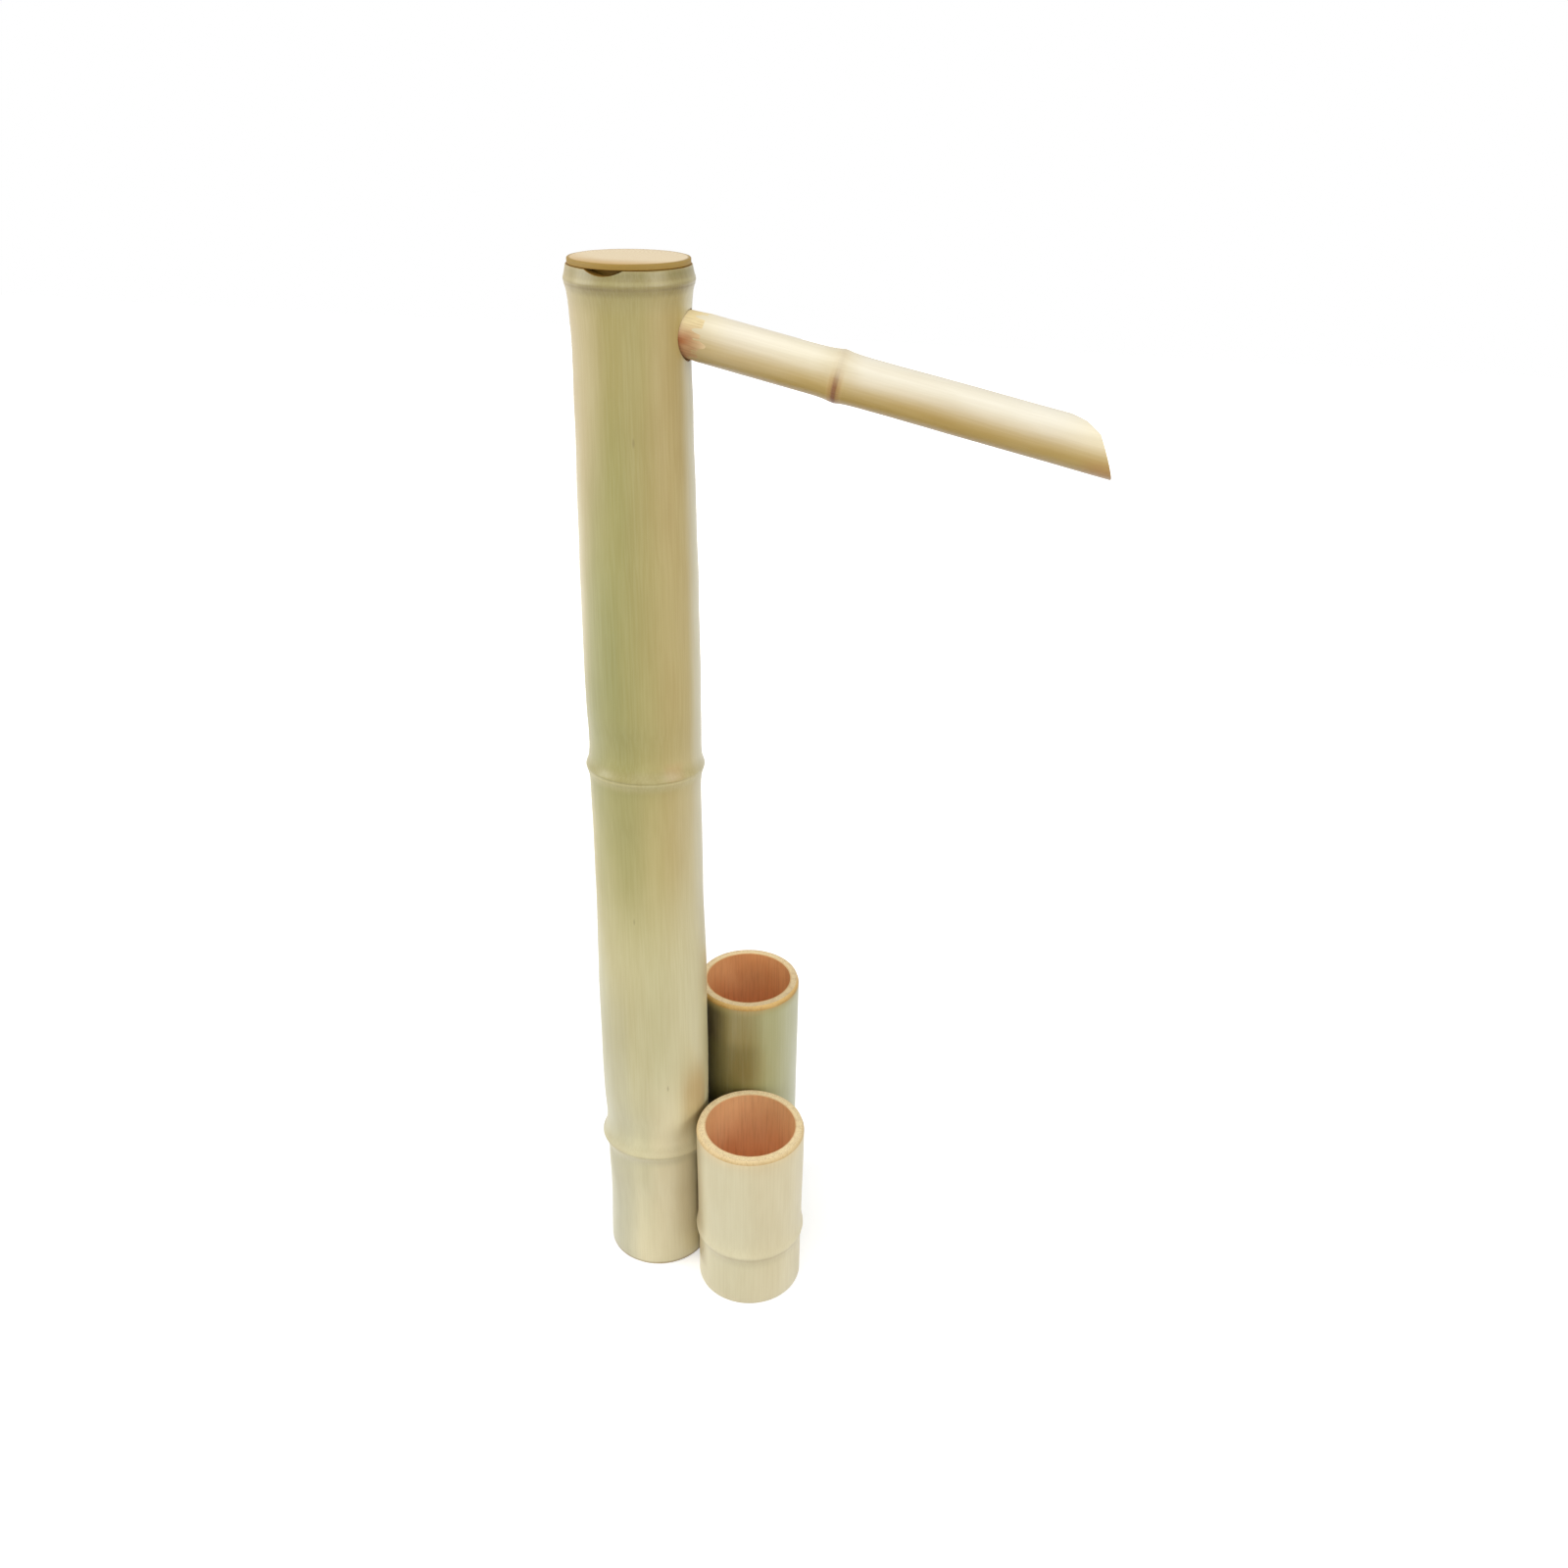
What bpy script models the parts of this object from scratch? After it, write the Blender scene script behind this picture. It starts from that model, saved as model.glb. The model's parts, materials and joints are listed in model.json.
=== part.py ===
"""Bamboo water spout: a hollow bamboo post with a lid, a sloping spout near its top that a hidden hose
feeds, and two open bamboo cups screwed to its foot. Metres, +Z up, spout along +X.

The origin is on the ground, under the middle of the whole object. The post's own axis is the empty
post_axis, and the spout's is the empty spout_axis, whose +Z runs down the spout.
"""
import math

import bmesh
import bpy
from mathutils import Vector

# Post culm: heights of its cut ends and nodes
POST_TOP = 0.7465
POST_NODES = (0.107, 0.427, 0.738)
POST_WALL = 0.0068
# Outer radius of the plain culm at stations up the post
POST_STATIONS = (
    (0.000, 0.0390),
    (0.060, 0.0374),
    (0.098, 0.0374),
    (0.119, 0.0386),
    (0.174, 0.0391),
    (0.245, 0.0386),
    (0.333, 0.0370),
    (0.415, 0.0364),
    (0.484, 0.0370),
    (0.552, 0.0365),
    (0.606, 0.0355),
    (0.657, 0.0347),
    (0.700, 0.0344),
    (0.732, 0.0354),
    (0.7465, 0.0357),
)
POST_RISE = (0.0046, 0.0022, 0.0020)
POST_SIDES = 40

# Lid: a turned wooden disc whose plug drops into the top of the culm
LID_TOP = 0.750
LID_RADIUS = 0.0360
LID_PLUG_RADIUS = 0.0272
LID_PLUG_BOTTOM = 0.7415
LID_EDGE = 0.0009
# Dip in the culm's sawn rim, which leaves a gap under the lid
DIP_WIDTH = 0.024
DIP_DEPTH = 0.0032
DIP_AZIMUTH = -97.5
DIP_FROM = 0.020
DIP_LENGTH = 0.030
DIP_SIDES = 64

# Spout: stations are measured down its axis from the post's axis
SPOUT_HEIGHT = 0.7164
SPOUT_DESCENT = 12.0
SPOUT_TENON_END = 0.0215
SPOUT_SHOULDER = 0.0360
SPOUT_FULL = 0.0470
SPOUT_NODE = 0.1252
SPOUT_WIDE = 0.215
SPOUT_LIP = 0.2912
SPOUT_CUT = 50.0
# The lip is turned about the spout's axis from straight down towards the front
SPOUT_TURN = -18.0
SPOUT_WALL = 0.0032
SPOUT_STATIONS = (
    (SPOUT_TENON_END, 0.0130),
    (SPOUT_SHOULDER, 0.0132),
    (SPOUT_FULL, 0.0144),
    (0.118, 0.0145),
    (0.136, 0.0147),
    (SPOUT_WIDE, 0.0150),
    (SPOUT_LIP, 0.0152),
)
SPOUT_RISE = 0.0012
SPOUT_BORE_IN = 0.0102
SPOUT_SIDES = 28
SLANT_BOX = 0.120
# Mortise in the post: loose on the tenon, and a little low on it
MORTISE_RADIUS = 0.0145
MORTISE_DROP = 0.0005
MORTISE_FROM = 0.012
MORTISE_LENGTH = 0.060
MORTISE_SIDES = 32

# Water hose, and the rubber bush that seats its end in the spout
HOSE_RADIUS = 0.0050
HOSE_BORE = 0.0038
HOSE_ENTRY_HEIGHT = 0.050
HOSE_POINT_SPACING = 0.0085
HOSE_RUN_OUT = 0.001
# The hose's route: (distance behind the post's axis, height), (distance towards the spout, height)
# and stations down the spout
HOSE_BEHIND = ((0.0310, 0.0500), (0.0265, 0.0503), (0.0140, 0.0538), (0.0040, 0.0640), (0.0, 0.0780))
HOSE_RISING = (
    (0.0, 0.106),
    (0.0, 0.200),
    (0.0015, 0.320),
    (0.0, 0.425),
    (-0.0060, 0.500),
    (-0.0145, 0.590),
    (-0.0195, 0.655),
    (-0.0200, 0.683),
    (-0.0170, 0.696),
    (-0.0085, 0.7063),
    (0.0038, 0.7120),
)
HOSE_IN_SPOUT = (0.0185, 0.0260, 0.0400, 0.0560)
HOSE_HOLE_FROM = 0.020
HOSE_HOLE_LENGTH = 0.030
HOSE_HOLE_SIDES = 20
BUSH_LENGTH = 0.011
BUSH_FLANGE = 0.0022
BUSH_FLANGE_RADIUS = 0.0123
BUSH_SIDES = 24

# Barbed hose inlet in the back of the post's foot
INLET_FLANGE_RADIUS = 0.0090
INLET_FLANGE_OUT = 0.0395
INLET_SEAT = 0.0015
INLET_TAIL_START = 0.0285
INLET_END = 0.0560
INLET_BORE = 0.0022
INLET_TAIL_RADIUS = 0.0032
INLET_ROUND = 0.0006
INLET_SIDES = 20
BARB_COUNT = 3
BARB_RISE = 0.0006
BARB_START = 0.002
SADDLE_SIDES = 72

# Cups: distance and direction of each from the post's axis, close against the post's lowest ring
SHORT_CUP_REACH = 0.0828
SHORT_CUP_AZIMUTH = -16.2
SHORT_CUP_HEIGHT = 0.144
SHORT_CUP_NODE = 0.048
SHORT_CUP_STATIONS = ((0.000, 0.0394), (0.038, 0.0394), (0.058, 0.0398), (0.144, 0.0404))
SHORT_CUP_SCREWS = (0.068, 0.094)
TALL_CUP_REACH = 0.0812
TALL_CUP_AZIMUTH = 42.8
TALL_CUP_HEIGHT = 0.2205
TALL_CUP_NODE = 0.062
TALL_CUP_STATIONS = ((0.000, 0.0382), (0.052, 0.0380), (0.074, 0.0384), (0.2205, 0.0388))
TALL_CUP_SCREWS = (0.090, 0.165)
CUP_RISE = 0.0018
CUP_WALL = 0.0070
CUP_SIDES = 36

# Cup screws: a pan head, a plain shank and a point
SCREW_LENGTH = 0.0240
SCREW_HEAD_RADIUS = 0.0036
SCREW_HEAD_HEIGHT = 0.0020
SCREW_SHANK_RADIUS = 0.0018
SCREW_TIP = 0.0035
SCREW_SIDES = 12
PILOT_BEHIND = 0.004
PILOT_LENGTH = 0.030
PILOT_SIDES = 16

# Common to every culm
GAP = 0.0003
RIM_ROUND = 0.0007
DIAPHRAGM = 0.0022
DIAPHRAGM_HOLE = 0.0100
FILLET = 0.0050
RIDGE_ABOVE = 0.0065
RIDGE_BELOW = 0.0050
LIP = 0.0006
LIP_ABOVE = 0.0010
LIP_BELOW = 0.0015
NODE_OFFSETS = (0.016, 0.009, 0.005, 0.0022, 0.0006, -0.0012, -0.0020, -0.0050, -0.0090)
MERGE = 0.00002

# The origin lies midway, along X, between the spout's far lip and the post's widest ring
SLOPE = math.radians(SPOUT_DESCENT)
LIP_DROP = SPOUT_STATIONS[-1][1] * math.cos(math.radians(SPOUT_TURN))
REACH = SPOUT_LIP * math.cos(SLOPE) - LIP_DROP * math.sin(SLOPE)
POST_X = -(REACH - POST_STATIONS[2][1] - POST_RISE[0]) / 2
# and, along Y, between the outer sides of the two cups' rings
SHORT_CUP_Y = SHORT_CUP_REACH * math.sin(math.radians(SHORT_CUP_AZIMUTH))
TALL_CUP_Y = TALL_CUP_REACH * math.sin(math.radians(TALL_CUP_AZIMUTH))
POST_Y = -(SHORT_CUP_Y - SHORT_CUP_STATIONS[1][1] + TALL_CUP_Y + TALL_CUP_STATIONS[1][1]) / 2


def clear_scene():
    for old in list(bpy.data.objects):
        bpy.data.objects.remove(old, do_unlink=True)


def make_collection(name):
    collection = bpy.data.collections.new(name)
    bpy.context.scene.collection.children.link(collection)
    return collection


def make_material(name, colour, roughness, metallic=0.0):
    material = bpy.data.materials.new(name)
    material.use_nodes = True
    shader = material.node_tree.nodes["Principled BSDF"]
    shader.inputs["Base Color"].default_value = (*colour, 1.0)
    shader.inputs["Roughness"].default_value = roughness
    shader.inputs["Metallic"].default_value = metallic
    return material


def make_empty(name, location, rotation=(0, 0, 0), parent=None):
    empty = bpy.data.objects.new(name, None)
    empty.location = location
    empty.rotation_euler = rotation
    empty.parent = parent
    parts.objects.link(empty)
    return empty


def place(part, parent, location=(0, 0, 0), rotation=(0, 0, 0)):
    part.parent = parent
    part.location = location
    part.rotation_euler = rotation
    return part


def turned(name, outline, sides, material=None, home=None, closed=True):
    """Revolve an outline of (radius, height) points about Z; its outer side runs downwards."""
    mesh = bpy.data.meshes.new(name)
    points = [(radius, 0, height) for radius, height in outline]
    edges = [(i, i + 1) for i in range(len(points) - 1)]
    if closed:
        edges.append((len(points) - 1, 0))
    mesh.from_pydata(points, edges, [])
    part = bpy.data.objects.new(name, mesh)
    (home or parts).objects.link(part)
    screw = part.modifiers.new("turn", 'SCREW')
    screw.axis = 'Z'
    screw.angle = math.tau
    screw.steps = sides
    screw.render_steps = sides
    screw.use_merge_vertices = True
    screw.merge_threshold = MERGE
    screw.use_smooth_shade = True
    if material:
        mesh.materials.append(material)
    return part


def cylinder_cutter(name, radius, length, sides, parent, location=(0, 0, 0), rotation=(0, 0, 0)):
    """A cylinder from its own origin along its +Z, which only cuts."""
    mesh = bpy.data.meshes.new(name)
    shape = bmesh.new()
    bmesh.ops.create_cone(shape, cap_ends=True, segments=sides, radius1=radius, radius2=radius, depth=length)
    bmesh.ops.translate(shape, vec=(0, 0, length / 2), verts=shape.verts)
    shape.to_mesh(mesh)
    shape.free()
    cutter = bpy.data.objects.new(name, mesh)
    return as_cutter(cutter, parent, location, rotation)


def box_cutter(name, size, parent, location, rotation):
    mesh = bpy.data.meshes.new(name)
    shape = bmesh.new()
    bmesh.ops.create_cube(shape, size=1.0)
    bmesh.ops.scale(shape, vec=size, verts=shape.verts)
    shape.to_mesh(mesh)
    shape.free()
    cutter = bpy.data.objects.new(name, mesh)
    return as_cutter(cutter, parent, location, rotation)


def as_cutter(cutter, parent, location=(0, 0, 0), rotation=(0, 0, 0)):
    if not cutter.users_collection:
        cutters.objects.link(cutter)
    cutter.hide_render = True
    cutter.display_type = 'WIRE'
    return place(cutter, parent, location, rotation)


def cut(part, cutter):
    boolean = part.modifiers.new(cutter.name, 'BOOLEAN')
    boolean.operation = 'DIFFERENCE'
    boolean.solver = 'EXACT'
    boolean.object = cutter


def plain_radius(height, stations):
    """Radius of the plain culm between its nodes: an eased curve through its stations."""
    if height <= stations[0][0]:
        return stations[0][1]
    for (low, low_radius), (high, high_radius) in zip(stations, stations[1:]):
        if height <= high:
            ease = (1 - math.cos(math.pi * (height - low) / (high - low))) / 2
            return low_radius + (high_radius - low_radius) * ease
    return stations[-1][1]


def node_rise(offset, rise):
    """What a node adds to the radius: a soft ridge, and the sharp lip of the sheath scar at its foot."""
    spread = RIDGE_ABOVE if offset > 0 else RIDGE_BELOW
    ridge = (rise - LIP) * math.exp(-(offset / spread) ** 2)
    on_lip = -LIP_BELOW < offset < LIP_ABOVE
    return ridge + (LIP if on_lip else 0.0)


def culm_side(stations, nodes, rises, bottom, top):
    """Outer side of a culm, from its top rim down to its foot, as (radius, height) points."""
    heights = [height for height, _ in stations if bottom < height < top]
    near = NODE_OFFSETS[0]
    heights = [h for h in heights if all(abs(h - node) > near for node in nodes)]
    for node in nodes:
        heights += [node + offset for offset in NODE_OFFSETS if bottom < node + offset < top - RIM_ROUND]
    side = [(plain_radius(top, stations) - RIM_ROUND, top)]
    for height in sorted(heights + [bottom + RIM_ROUND, top - RIM_ROUND], reverse=True):
        radius = plain_radius(height, stations)
        radius += sum(node_rise(height - node, rise) for node, rise in zip(nodes, rises))
        side.append((radius, height))
    side.append((plain_radius(bottom, stations) - RIM_ROUND, bottom))
    return side


def drilled_node(inner, node):
    """The ring that a drilled node leaves in the bore, from below it to above it."""
    return [
        (inner, node - DIAPHRAGM - FILLET),
        (inner - FILLET, node - DIAPHRAGM),
        (DIAPHRAGM_HOLE, node - DIAPHRAGM),
        (DIAPHRAGM_HOLE, node + DIAPHRAGM),
        (inner - FILLET, node + DIAPHRAGM),
        (inner, node + DIAPHRAGM + FILLET),
    ]


def polar(reach, azimuth, height=0.0):
    angle = math.radians(azimuth)
    return Vector((reach * math.cos(angle), reach * math.sin(angle), height))


def post_outline():
    bore = [(POST_STATIONS[0][1] - POST_WALL, 0.0)]
    for node in POST_NODES[:2]:
        bore += drilled_node(plain_radius(node, POST_STATIONS) - POST_WALL, node)
    # The top node lies just under the rim, so it leaves a shallow flat socket for the lid's plug
    inner = POST_STATIONS[-1][1] - POST_WALL
    bore += drilled_node(inner, POST_NODES[2])[:-2]
    bore += [(inner, POST_NODES[2] + DIAPHRAGM), (inner, POST_TOP)]
    return culm_side(POST_STATIONS, POST_NODES, POST_RISE, 0.0, POST_TOP) + bore


def make_post():
    post = place(turned("post_culm", post_outline(), POST_SIDES, bamboo_green), post_axis)
    mortise = cylinder_cutter(
        "cut_mortise", MORTISE_RADIUS, MORTISE_LENGTH, MORTISE_SIDES, spout_axis,
        (MORTISE_DROP, 0, MORTISE_FROM))
    cut(post, mortise)
    half = DIP_WIDTH / 2
    dip_radius = (half ** 2 + DIP_DEPTH ** 2) / (2 * DIP_DEPTH)
    dip = cylinder_cutter(
        "cut_rim_dip", dip_radius, DIP_LENGTH, DIP_SIDES, post_axis,
        polar(DIP_FROM, DIP_AZIMUTH, POST_TOP + dip_radius - DIP_DEPTH),
        (0, math.pi / 2, math.radians(DIP_AZIMUTH)))
    cut(post, dip)
    entry = cylinder_cutter(
        "cut_hose_entry", HOSE_RADIUS + GAP, HOSE_HOLE_LENGTH, HOSE_HOLE_SIDES, post_axis,
        (0, HOSE_HOLE_FROM, HOSE_ENTRY_HEIGHT), (-math.pi / 2, 0, 0))
    cut(post, entry)
    return post


def make_lid():
    under = POST_TOP + GAP
    outline = [
        (0, LID_TOP),
        (LID_RADIUS - LID_EDGE, LID_TOP),
        (LID_RADIUS - 0.3 * LID_EDGE, LID_TOP - 0.3 * LID_EDGE),
        (LID_RADIUS, LID_TOP - LID_EDGE),
        (LID_RADIUS, under + LID_EDGE / 2),
        (LID_RADIUS - LID_EDGE / 2, under),
        (LID_PLUG_RADIUS, under),
        (LID_PLUG_RADIUS, LID_PLUG_BOTTOM + LID_EDGE),
        (LID_PLUG_RADIUS - LID_EDGE, LID_PLUG_BOTTOM),
        (0, LID_PLUG_BOTTOM),
    ]
    return place(turned("top_lid", outline, POST_SIDES, lid_wood, closed=False), post_axis)


def spout_outline():
    side = culm_side(SPOUT_STATIONS, (SPOUT_NODE,), (SPOUT_RISE,), SPOUT_TENON_END, SPOUT_LIP)
    chamber = plain_radius(SPOUT_NODE, SPOUT_STATIONS) - SPOUT_WALL
    mouth = plain_radius(SPOUT_LIP, SPOUT_STATIONS) - SPOUT_WALL
    bore = [
        (SPOUT_BORE_IN, SPOUT_TENON_END),
        (SPOUT_BORE_IN, SPOUT_FULL),
        (chamber, SPOUT_FULL + FILLET),
        (chamber, SPOUT_NODE - FILLET),
        (SPOUT_BORE_IN, SPOUT_NODE - DIAPHRAGM),
        (SPOUT_BORE_IN, SPOUT_NODE + DIAPHRAGM),
        (chamber, SPOUT_NODE + FILLET),
        (mouth, SPOUT_WIDE),
        (mouth, SPOUT_LIP),
    ]
    return side + bore


def make_spout():
    spout = place(turned("spout_arm", spout_outline(), SPOUT_SIDES, bamboo_pale), spout_axis)
    # The end is sawn off on the slant: the box's lower face lies on the cut, from the long lower lip
    slant = math.radians(SPOUT_CUT)
    lip = polar(SPOUT_STATIONS[-1][1], SPOUT_TURN, SPOUT_LIP)
    outward = polar(-math.cos(slant), SPOUT_TURN, math.sin(slant))
    slant_cut = box_cutter(
        "cut_slant", (SLANT_BOX, SLANT_BOX, SLANT_BOX), spout_axis, lip + outward * SLANT_BOX / 2,
        (0, slant - math.pi / 2, math.radians(SPOUT_TURN)))
    cut(spout, slant_cut)
    return spout


def make_bush():
    shoulder = SPOUT_TENON_END - GAP
    outline = [
        (SPOUT_BORE_IN - GAP, shoulder + BUSH_LENGTH),
        (SPOUT_BORE_IN - GAP, shoulder),
        (BUSH_FLANGE_RADIUS, shoulder),
        (BUSH_FLANGE_RADIUS, shoulder - BUSH_FLANGE),
        (HOSE_RADIUS + GAP, shoulder - BUSH_FLANGE),
        (HOSE_RADIUS + GAP, shoulder + BUSH_LENGTH),
    ]
    return place(turned("hose_bush", outline, BUSH_SIDES, black_rubber), spout_axis)


def on_spout(station):
    return (station * math.cos(SLOPE), 0.0, SPOUT_HEIGHT - station * math.sin(SLOPE))


def hose_route():
    """Up from the inlet at the back of the foot, through the drilled nodes, and over into the spout."""
    route = [(0.0, POST_STATIONS[1][1] - INLET_SEAT - GAP, HOSE_ENTRY_HEIGHT)]
    route += [(0.0, behind, height) for behind, height in HOSE_BEHIND]
    route += [(aside, 0.0, height) for aside, height in HOSE_RISING]
    return route + [on_spout(station) for station in HOSE_IN_SPOUT]


def smooth_route(route, spacing):
    """Points about one spacing apart on a smooth curve through the route's own points."""
    knots = [Vector(point) for point in route]
    ends = [2 * knots[0] - knots[1]] + knots + [2 * knots[-1] - knots[-2]]
    points = []
    for before, start, end, after in zip(ends, ends[1:], ends[2:], ends[3:]):
        steps = max(1, round((end - start).length / spacing))
        for step in range(steps):
            t = step / steps
            points.append((
                2 * start
                + (end - before) * t
                + (2 * before - 5 * start + 4 * end - after) * t ** 2
                + (3 * start - before - 3 * end + after) * t ** 3) / 2)
    return points + [knots[-1]]


def tube(name, points, radius, home):
    """A round tube along the points, as a closed mesh."""
    curve = bpy.data.curves.new(name, 'CURVE')
    curve.dimensions = '3D'
    curve.bevel_depth = radius
    curve.bevel_resolution = 2
    curve.use_fill_caps = True
    spline = curve.splines.new('POLY')
    spline.points.add(len(points) - 1)
    for knot, point in zip(spline.points, points):
        knot.co = (*point, 1.0)
    wire = bpy.data.objects.new(name + "_path", curve)
    home.objects.link(wire)
    bpy.context.view_layer.update()
    mesh = bpy.data.meshes.new_from_object(wire.evaluated_get(bpy.context.evaluated_depsgraph_get()))
    matrix = wire.matrix_world.copy()
    bpy.data.objects.remove(wire, do_unlink=True)
    shape = bmesh.new()
    shape.from_mesh(mesh)
    bmesh.ops.remove_doubles(shape, verts=shape.verts, dist=MERGE)
    bmesh.ops.recalc_face_normals(shape, faces=shape.faces)
    shape.to_mesh(mesh)
    shape.free()
    mesh.name = name
    made = bpy.data.objects.new(name, mesh)
    made.matrix_world = matrix
    home.objects.link(made)
    return made


def make_hose():
    points = smooth_route(hose_route(), HOSE_POINT_SPACING)
    hose = place(tube("water_hose", points, HOSE_RADIUS, parts), post_axis)
    hose.data.materials.clear()
    hose.data.materials.append(clear_vinyl)
    first = points[0] + (points[0] - points[1]).normalized() * HOSE_RUN_OUT
    last = points[-1] + (points[-1] - points[-2]).normalized() * HOSE_RUN_OUT
    bore = tube("cut_hose_bore", [first] + points[1:-1] + [last], HOSE_BORE, cutters)
    cut(hose, as_cutter(bore, post_axis))
    hose.data.shade_smooth()
    return hose


def inlet_outline():
    """Along the fitting's own axis, which is the distance from the post's axis: barbs, flange, tail."""
    flange_in = POST_STATIONS[1][1] - INLET_SEAT
    barb_length = (INLET_END - INLET_FLANGE_OUT - BARB_START) / BARB_COUNT
    outline = [(INLET_BORE, INLET_END), (HOSE_BORE - GAP, INLET_END)]
    for barb in range(BARB_COUNT):
        heel = INLET_END - (barb + 1) * barb_length
        crest = HOSE_BORE + BARB_RISE
        outline += [(crest, heel + BARB_RISE), (crest, heel), (HOSE_BORE - GAP, heel)]
    return outline + [
        (HOSE_BORE - GAP, INLET_FLANGE_OUT),
        (INLET_FLANGE_RADIUS - INLET_ROUND, INLET_FLANGE_OUT),
        (INLET_FLANGE_RADIUS, INLET_FLANGE_OUT - INLET_ROUND),
        (INLET_FLANGE_RADIUS, flange_in),
        (INLET_TAIL_RADIUS, flange_in),
        (INLET_TAIL_RADIUS, INLET_TAIL_START),
        (INLET_BORE, INLET_TAIL_START),
    ]


def make_inlet():
    inlet = turned("hose_inlet", inlet_outline(), INLET_SIDES, black_plastic)
    place(inlet, post_axis, (0, 0, HOSE_ENTRY_HEIGHT), (-math.pi / 2, 0, 0))
    # The flange is hollowed to sit on the round post, round the boss that enters the hole
    saddle = turned("cut_saddle", saddle_outline(), SADDLE_SIDES, home=cutters)
    cut(inlet, as_cutter(saddle, post_axis))
    boss = cylinder_cutter(
        "cut_saddle_boss", HOSE_RADIUS, HOSE_HOLE_LENGTH, HOSE_HOLE_SIDES, post_axis,
        (0, HOSE_HOLE_FROM, HOSE_ENTRY_HEIGHT), (-math.pi / 2, 0, 0))
    cut(saddle, boss)
    return inlet


def saddle_outline():
    """The skin of the post round the inlet, where it is widest."""
    low = HOSE_ENTRY_HEIGHT - INLET_FLANGE_RADIUS
    high = HOSE_ENTRY_HEIGHT + INLET_FLANGE_RADIUS
    outer = plain_radius(low, POST_STATIONS) + GAP
    inner = outer - 2 * INLET_SEAT
    return [(inner, high + GAP), (outer, high + GAP), (outer, low - GAP), (inner, low - GAP)]


def cup_outline(stations, node, height):
    side = culm_side(stations, (node,), (CUP_RISE,), 0.0, height)
    inner = plain_radius(node, stations) - CUP_WALL
    below = [
        (plain_radius(0, stations) - CUP_WALL, 0.0),
        (inner, node - DIAPHRAGM - FILLET),
        (inner - FILLET, node - DIAPHRAGM),
        (0, node - DIAPHRAGM),
    ]
    above = [
        (0, node + DIAPHRAGM),
        (inner - FILLET, node + DIAPHRAGM),
        (inner - 0.3 * FILLET, node + DIAPHRAGM + 0.3 * FILLET),
        (inner, node + DIAPHRAGM + FILLET),
        (plain_radius(height, stations) - CUP_WALL, height - RIM_ROUND),
        (plain_radius(height, stations) - CUP_WALL + RIM_ROUND, height),
    ]
    return above + side + below


def screw_outline():
    """A screw that points up its own axis: its point at the top, its pan head at the bottom."""
    head = SCREW_HEAD_RADIUS
    return [
        (0, SCREW_LENGTH),
        (SCREW_SHANK_RADIUS, SCREW_LENGTH - SCREW_TIP),
        (SCREW_SHANK_RADIUS, 0),
        (head, 0),
        (head, -0.4 * SCREW_HEAD_HEIGHT),
        (0.75 * head, -0.9 * SCREW_HEAD_HEIGHT),
        (0.4 * head, -SCREW_HEAD_HEIGHT),
        (0, -SCREW_HEAD_HEIGHT),
    ]


def make_cup(name, reach, azimuth, height, node, stations, screw_heights, material, post):
    """One cup, stood against the post, and the screws that hold it there from the inside."""
    axis = make_empty(name + "_axis", polar(reach, azimuth), (0, 0, math.radians(azimuth + 180)), post_axis)
    cup = place(turned(name, cup_outline(stations, node, height), CUP_SIDES, material, closed=False), axis)
    towards_post = (0, math.pi / 2, 0)
    for number, screw_height in enumerate(screw_heights, 1):
        # The flat underside of the head touches the hollow wall at its two sides
        floor = node + DIAPHRAGM + FILLET
        share = (screw_height - floor) / (height - floor)
        low = plain_radius(node, stations) - CUP_WALL
        high = plain_radius(height, stations) - CUP_WALL
        flat_of_wall = (low + (high - low) * share) * math.cos(math.pi / CUP_SIDES)
        seat = math.sqrt(flat_of_wall ** 2 - SCREW_HEAD_RADIUS ** 2) - GAP
        label = name.replace("cup", "screw") + "_" + str(number)
        screw = turned(label, screw_outline(), SCREW_SIDES, steel, closed=False)
        place(screw, axis, (seat, 0, screw_height), towards_post)
        hole = cylinder_cutter(
            "cut_" + label, SCREW_SHANK_RADIUS + GAP, PILOT_LENGTH, PILOT_SIDES, axis,
            (seat - PILOT_BEHIND, 0, screw_height), towards_post)
        cut(cup, hole)
        cut(post, hole)
    return cup


clear_scene()
parts = make_collection("bamboo_water_spout")
cutters = make_collection("cutters")

bamboo_green = make_material("bamboo_green", (0.47, 0.42, 0.20), 0.42)
bamboo_olive = make_material("bamboo_olive", (0.30, 0.29, 0.13), 0.45)
bamboo_pale = make_material("bamboo_pale", (0.80, 0.70, 0.45), 0.40)
bamboo_cream = make_material("bamboo_cream", (0.72, 0.64, 0.40), 0.42)
lid_wood = make_material("lid_wood", (0.78, 0.60, 0.36), 0.60)
clear_vinyl = make_material("clear_vinyl", (0.75, 0.78, 0.74), 0.25)
black_rubber = make_material("black_rubber", (0.03, 0.03, 0.03), 0.70)
black_plastic = make_material("black_plastic", (0.04, 0.04, 0.04), 0.45)
steel = make_material("steel", (0.60, 0.58, 0.54), 0.35, 1.0)

post_axis = make_empty("post_axis", (POST_X, POST_Y, 0))
spout_axis = make_empty("spout_axis", (0, 0, SPOUT_HEIGHT), (0, math.pi / 2 + SLOPE, 0), post_axis)

post_culm = make_post()
make_lid()
make_spout()
make_bush()
make_hose()
make_inlet()
make_cup(
    "short_cup", SHORT_CUP_REACH, SHORT_CUP_AZIMUTH, SHORT_CUP_HEIGHT, SHORT_CUP_NODE,
    SHORT_CUP_STATIONS, SHORT_CUP_SCREWS, bamboo_cream, post_culm)
make_cup(
    "tall_cup", TALL_CUP_REACH, TALL_CUP_AZIMUTH, TALL_CUP_HEIGHT, TALL_CUP_NODE,
    TALL_CUP_STATIONS, TALL_CUP_SCREWS, bamboo_olive, post_culm)
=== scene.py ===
import json
import math

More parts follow.
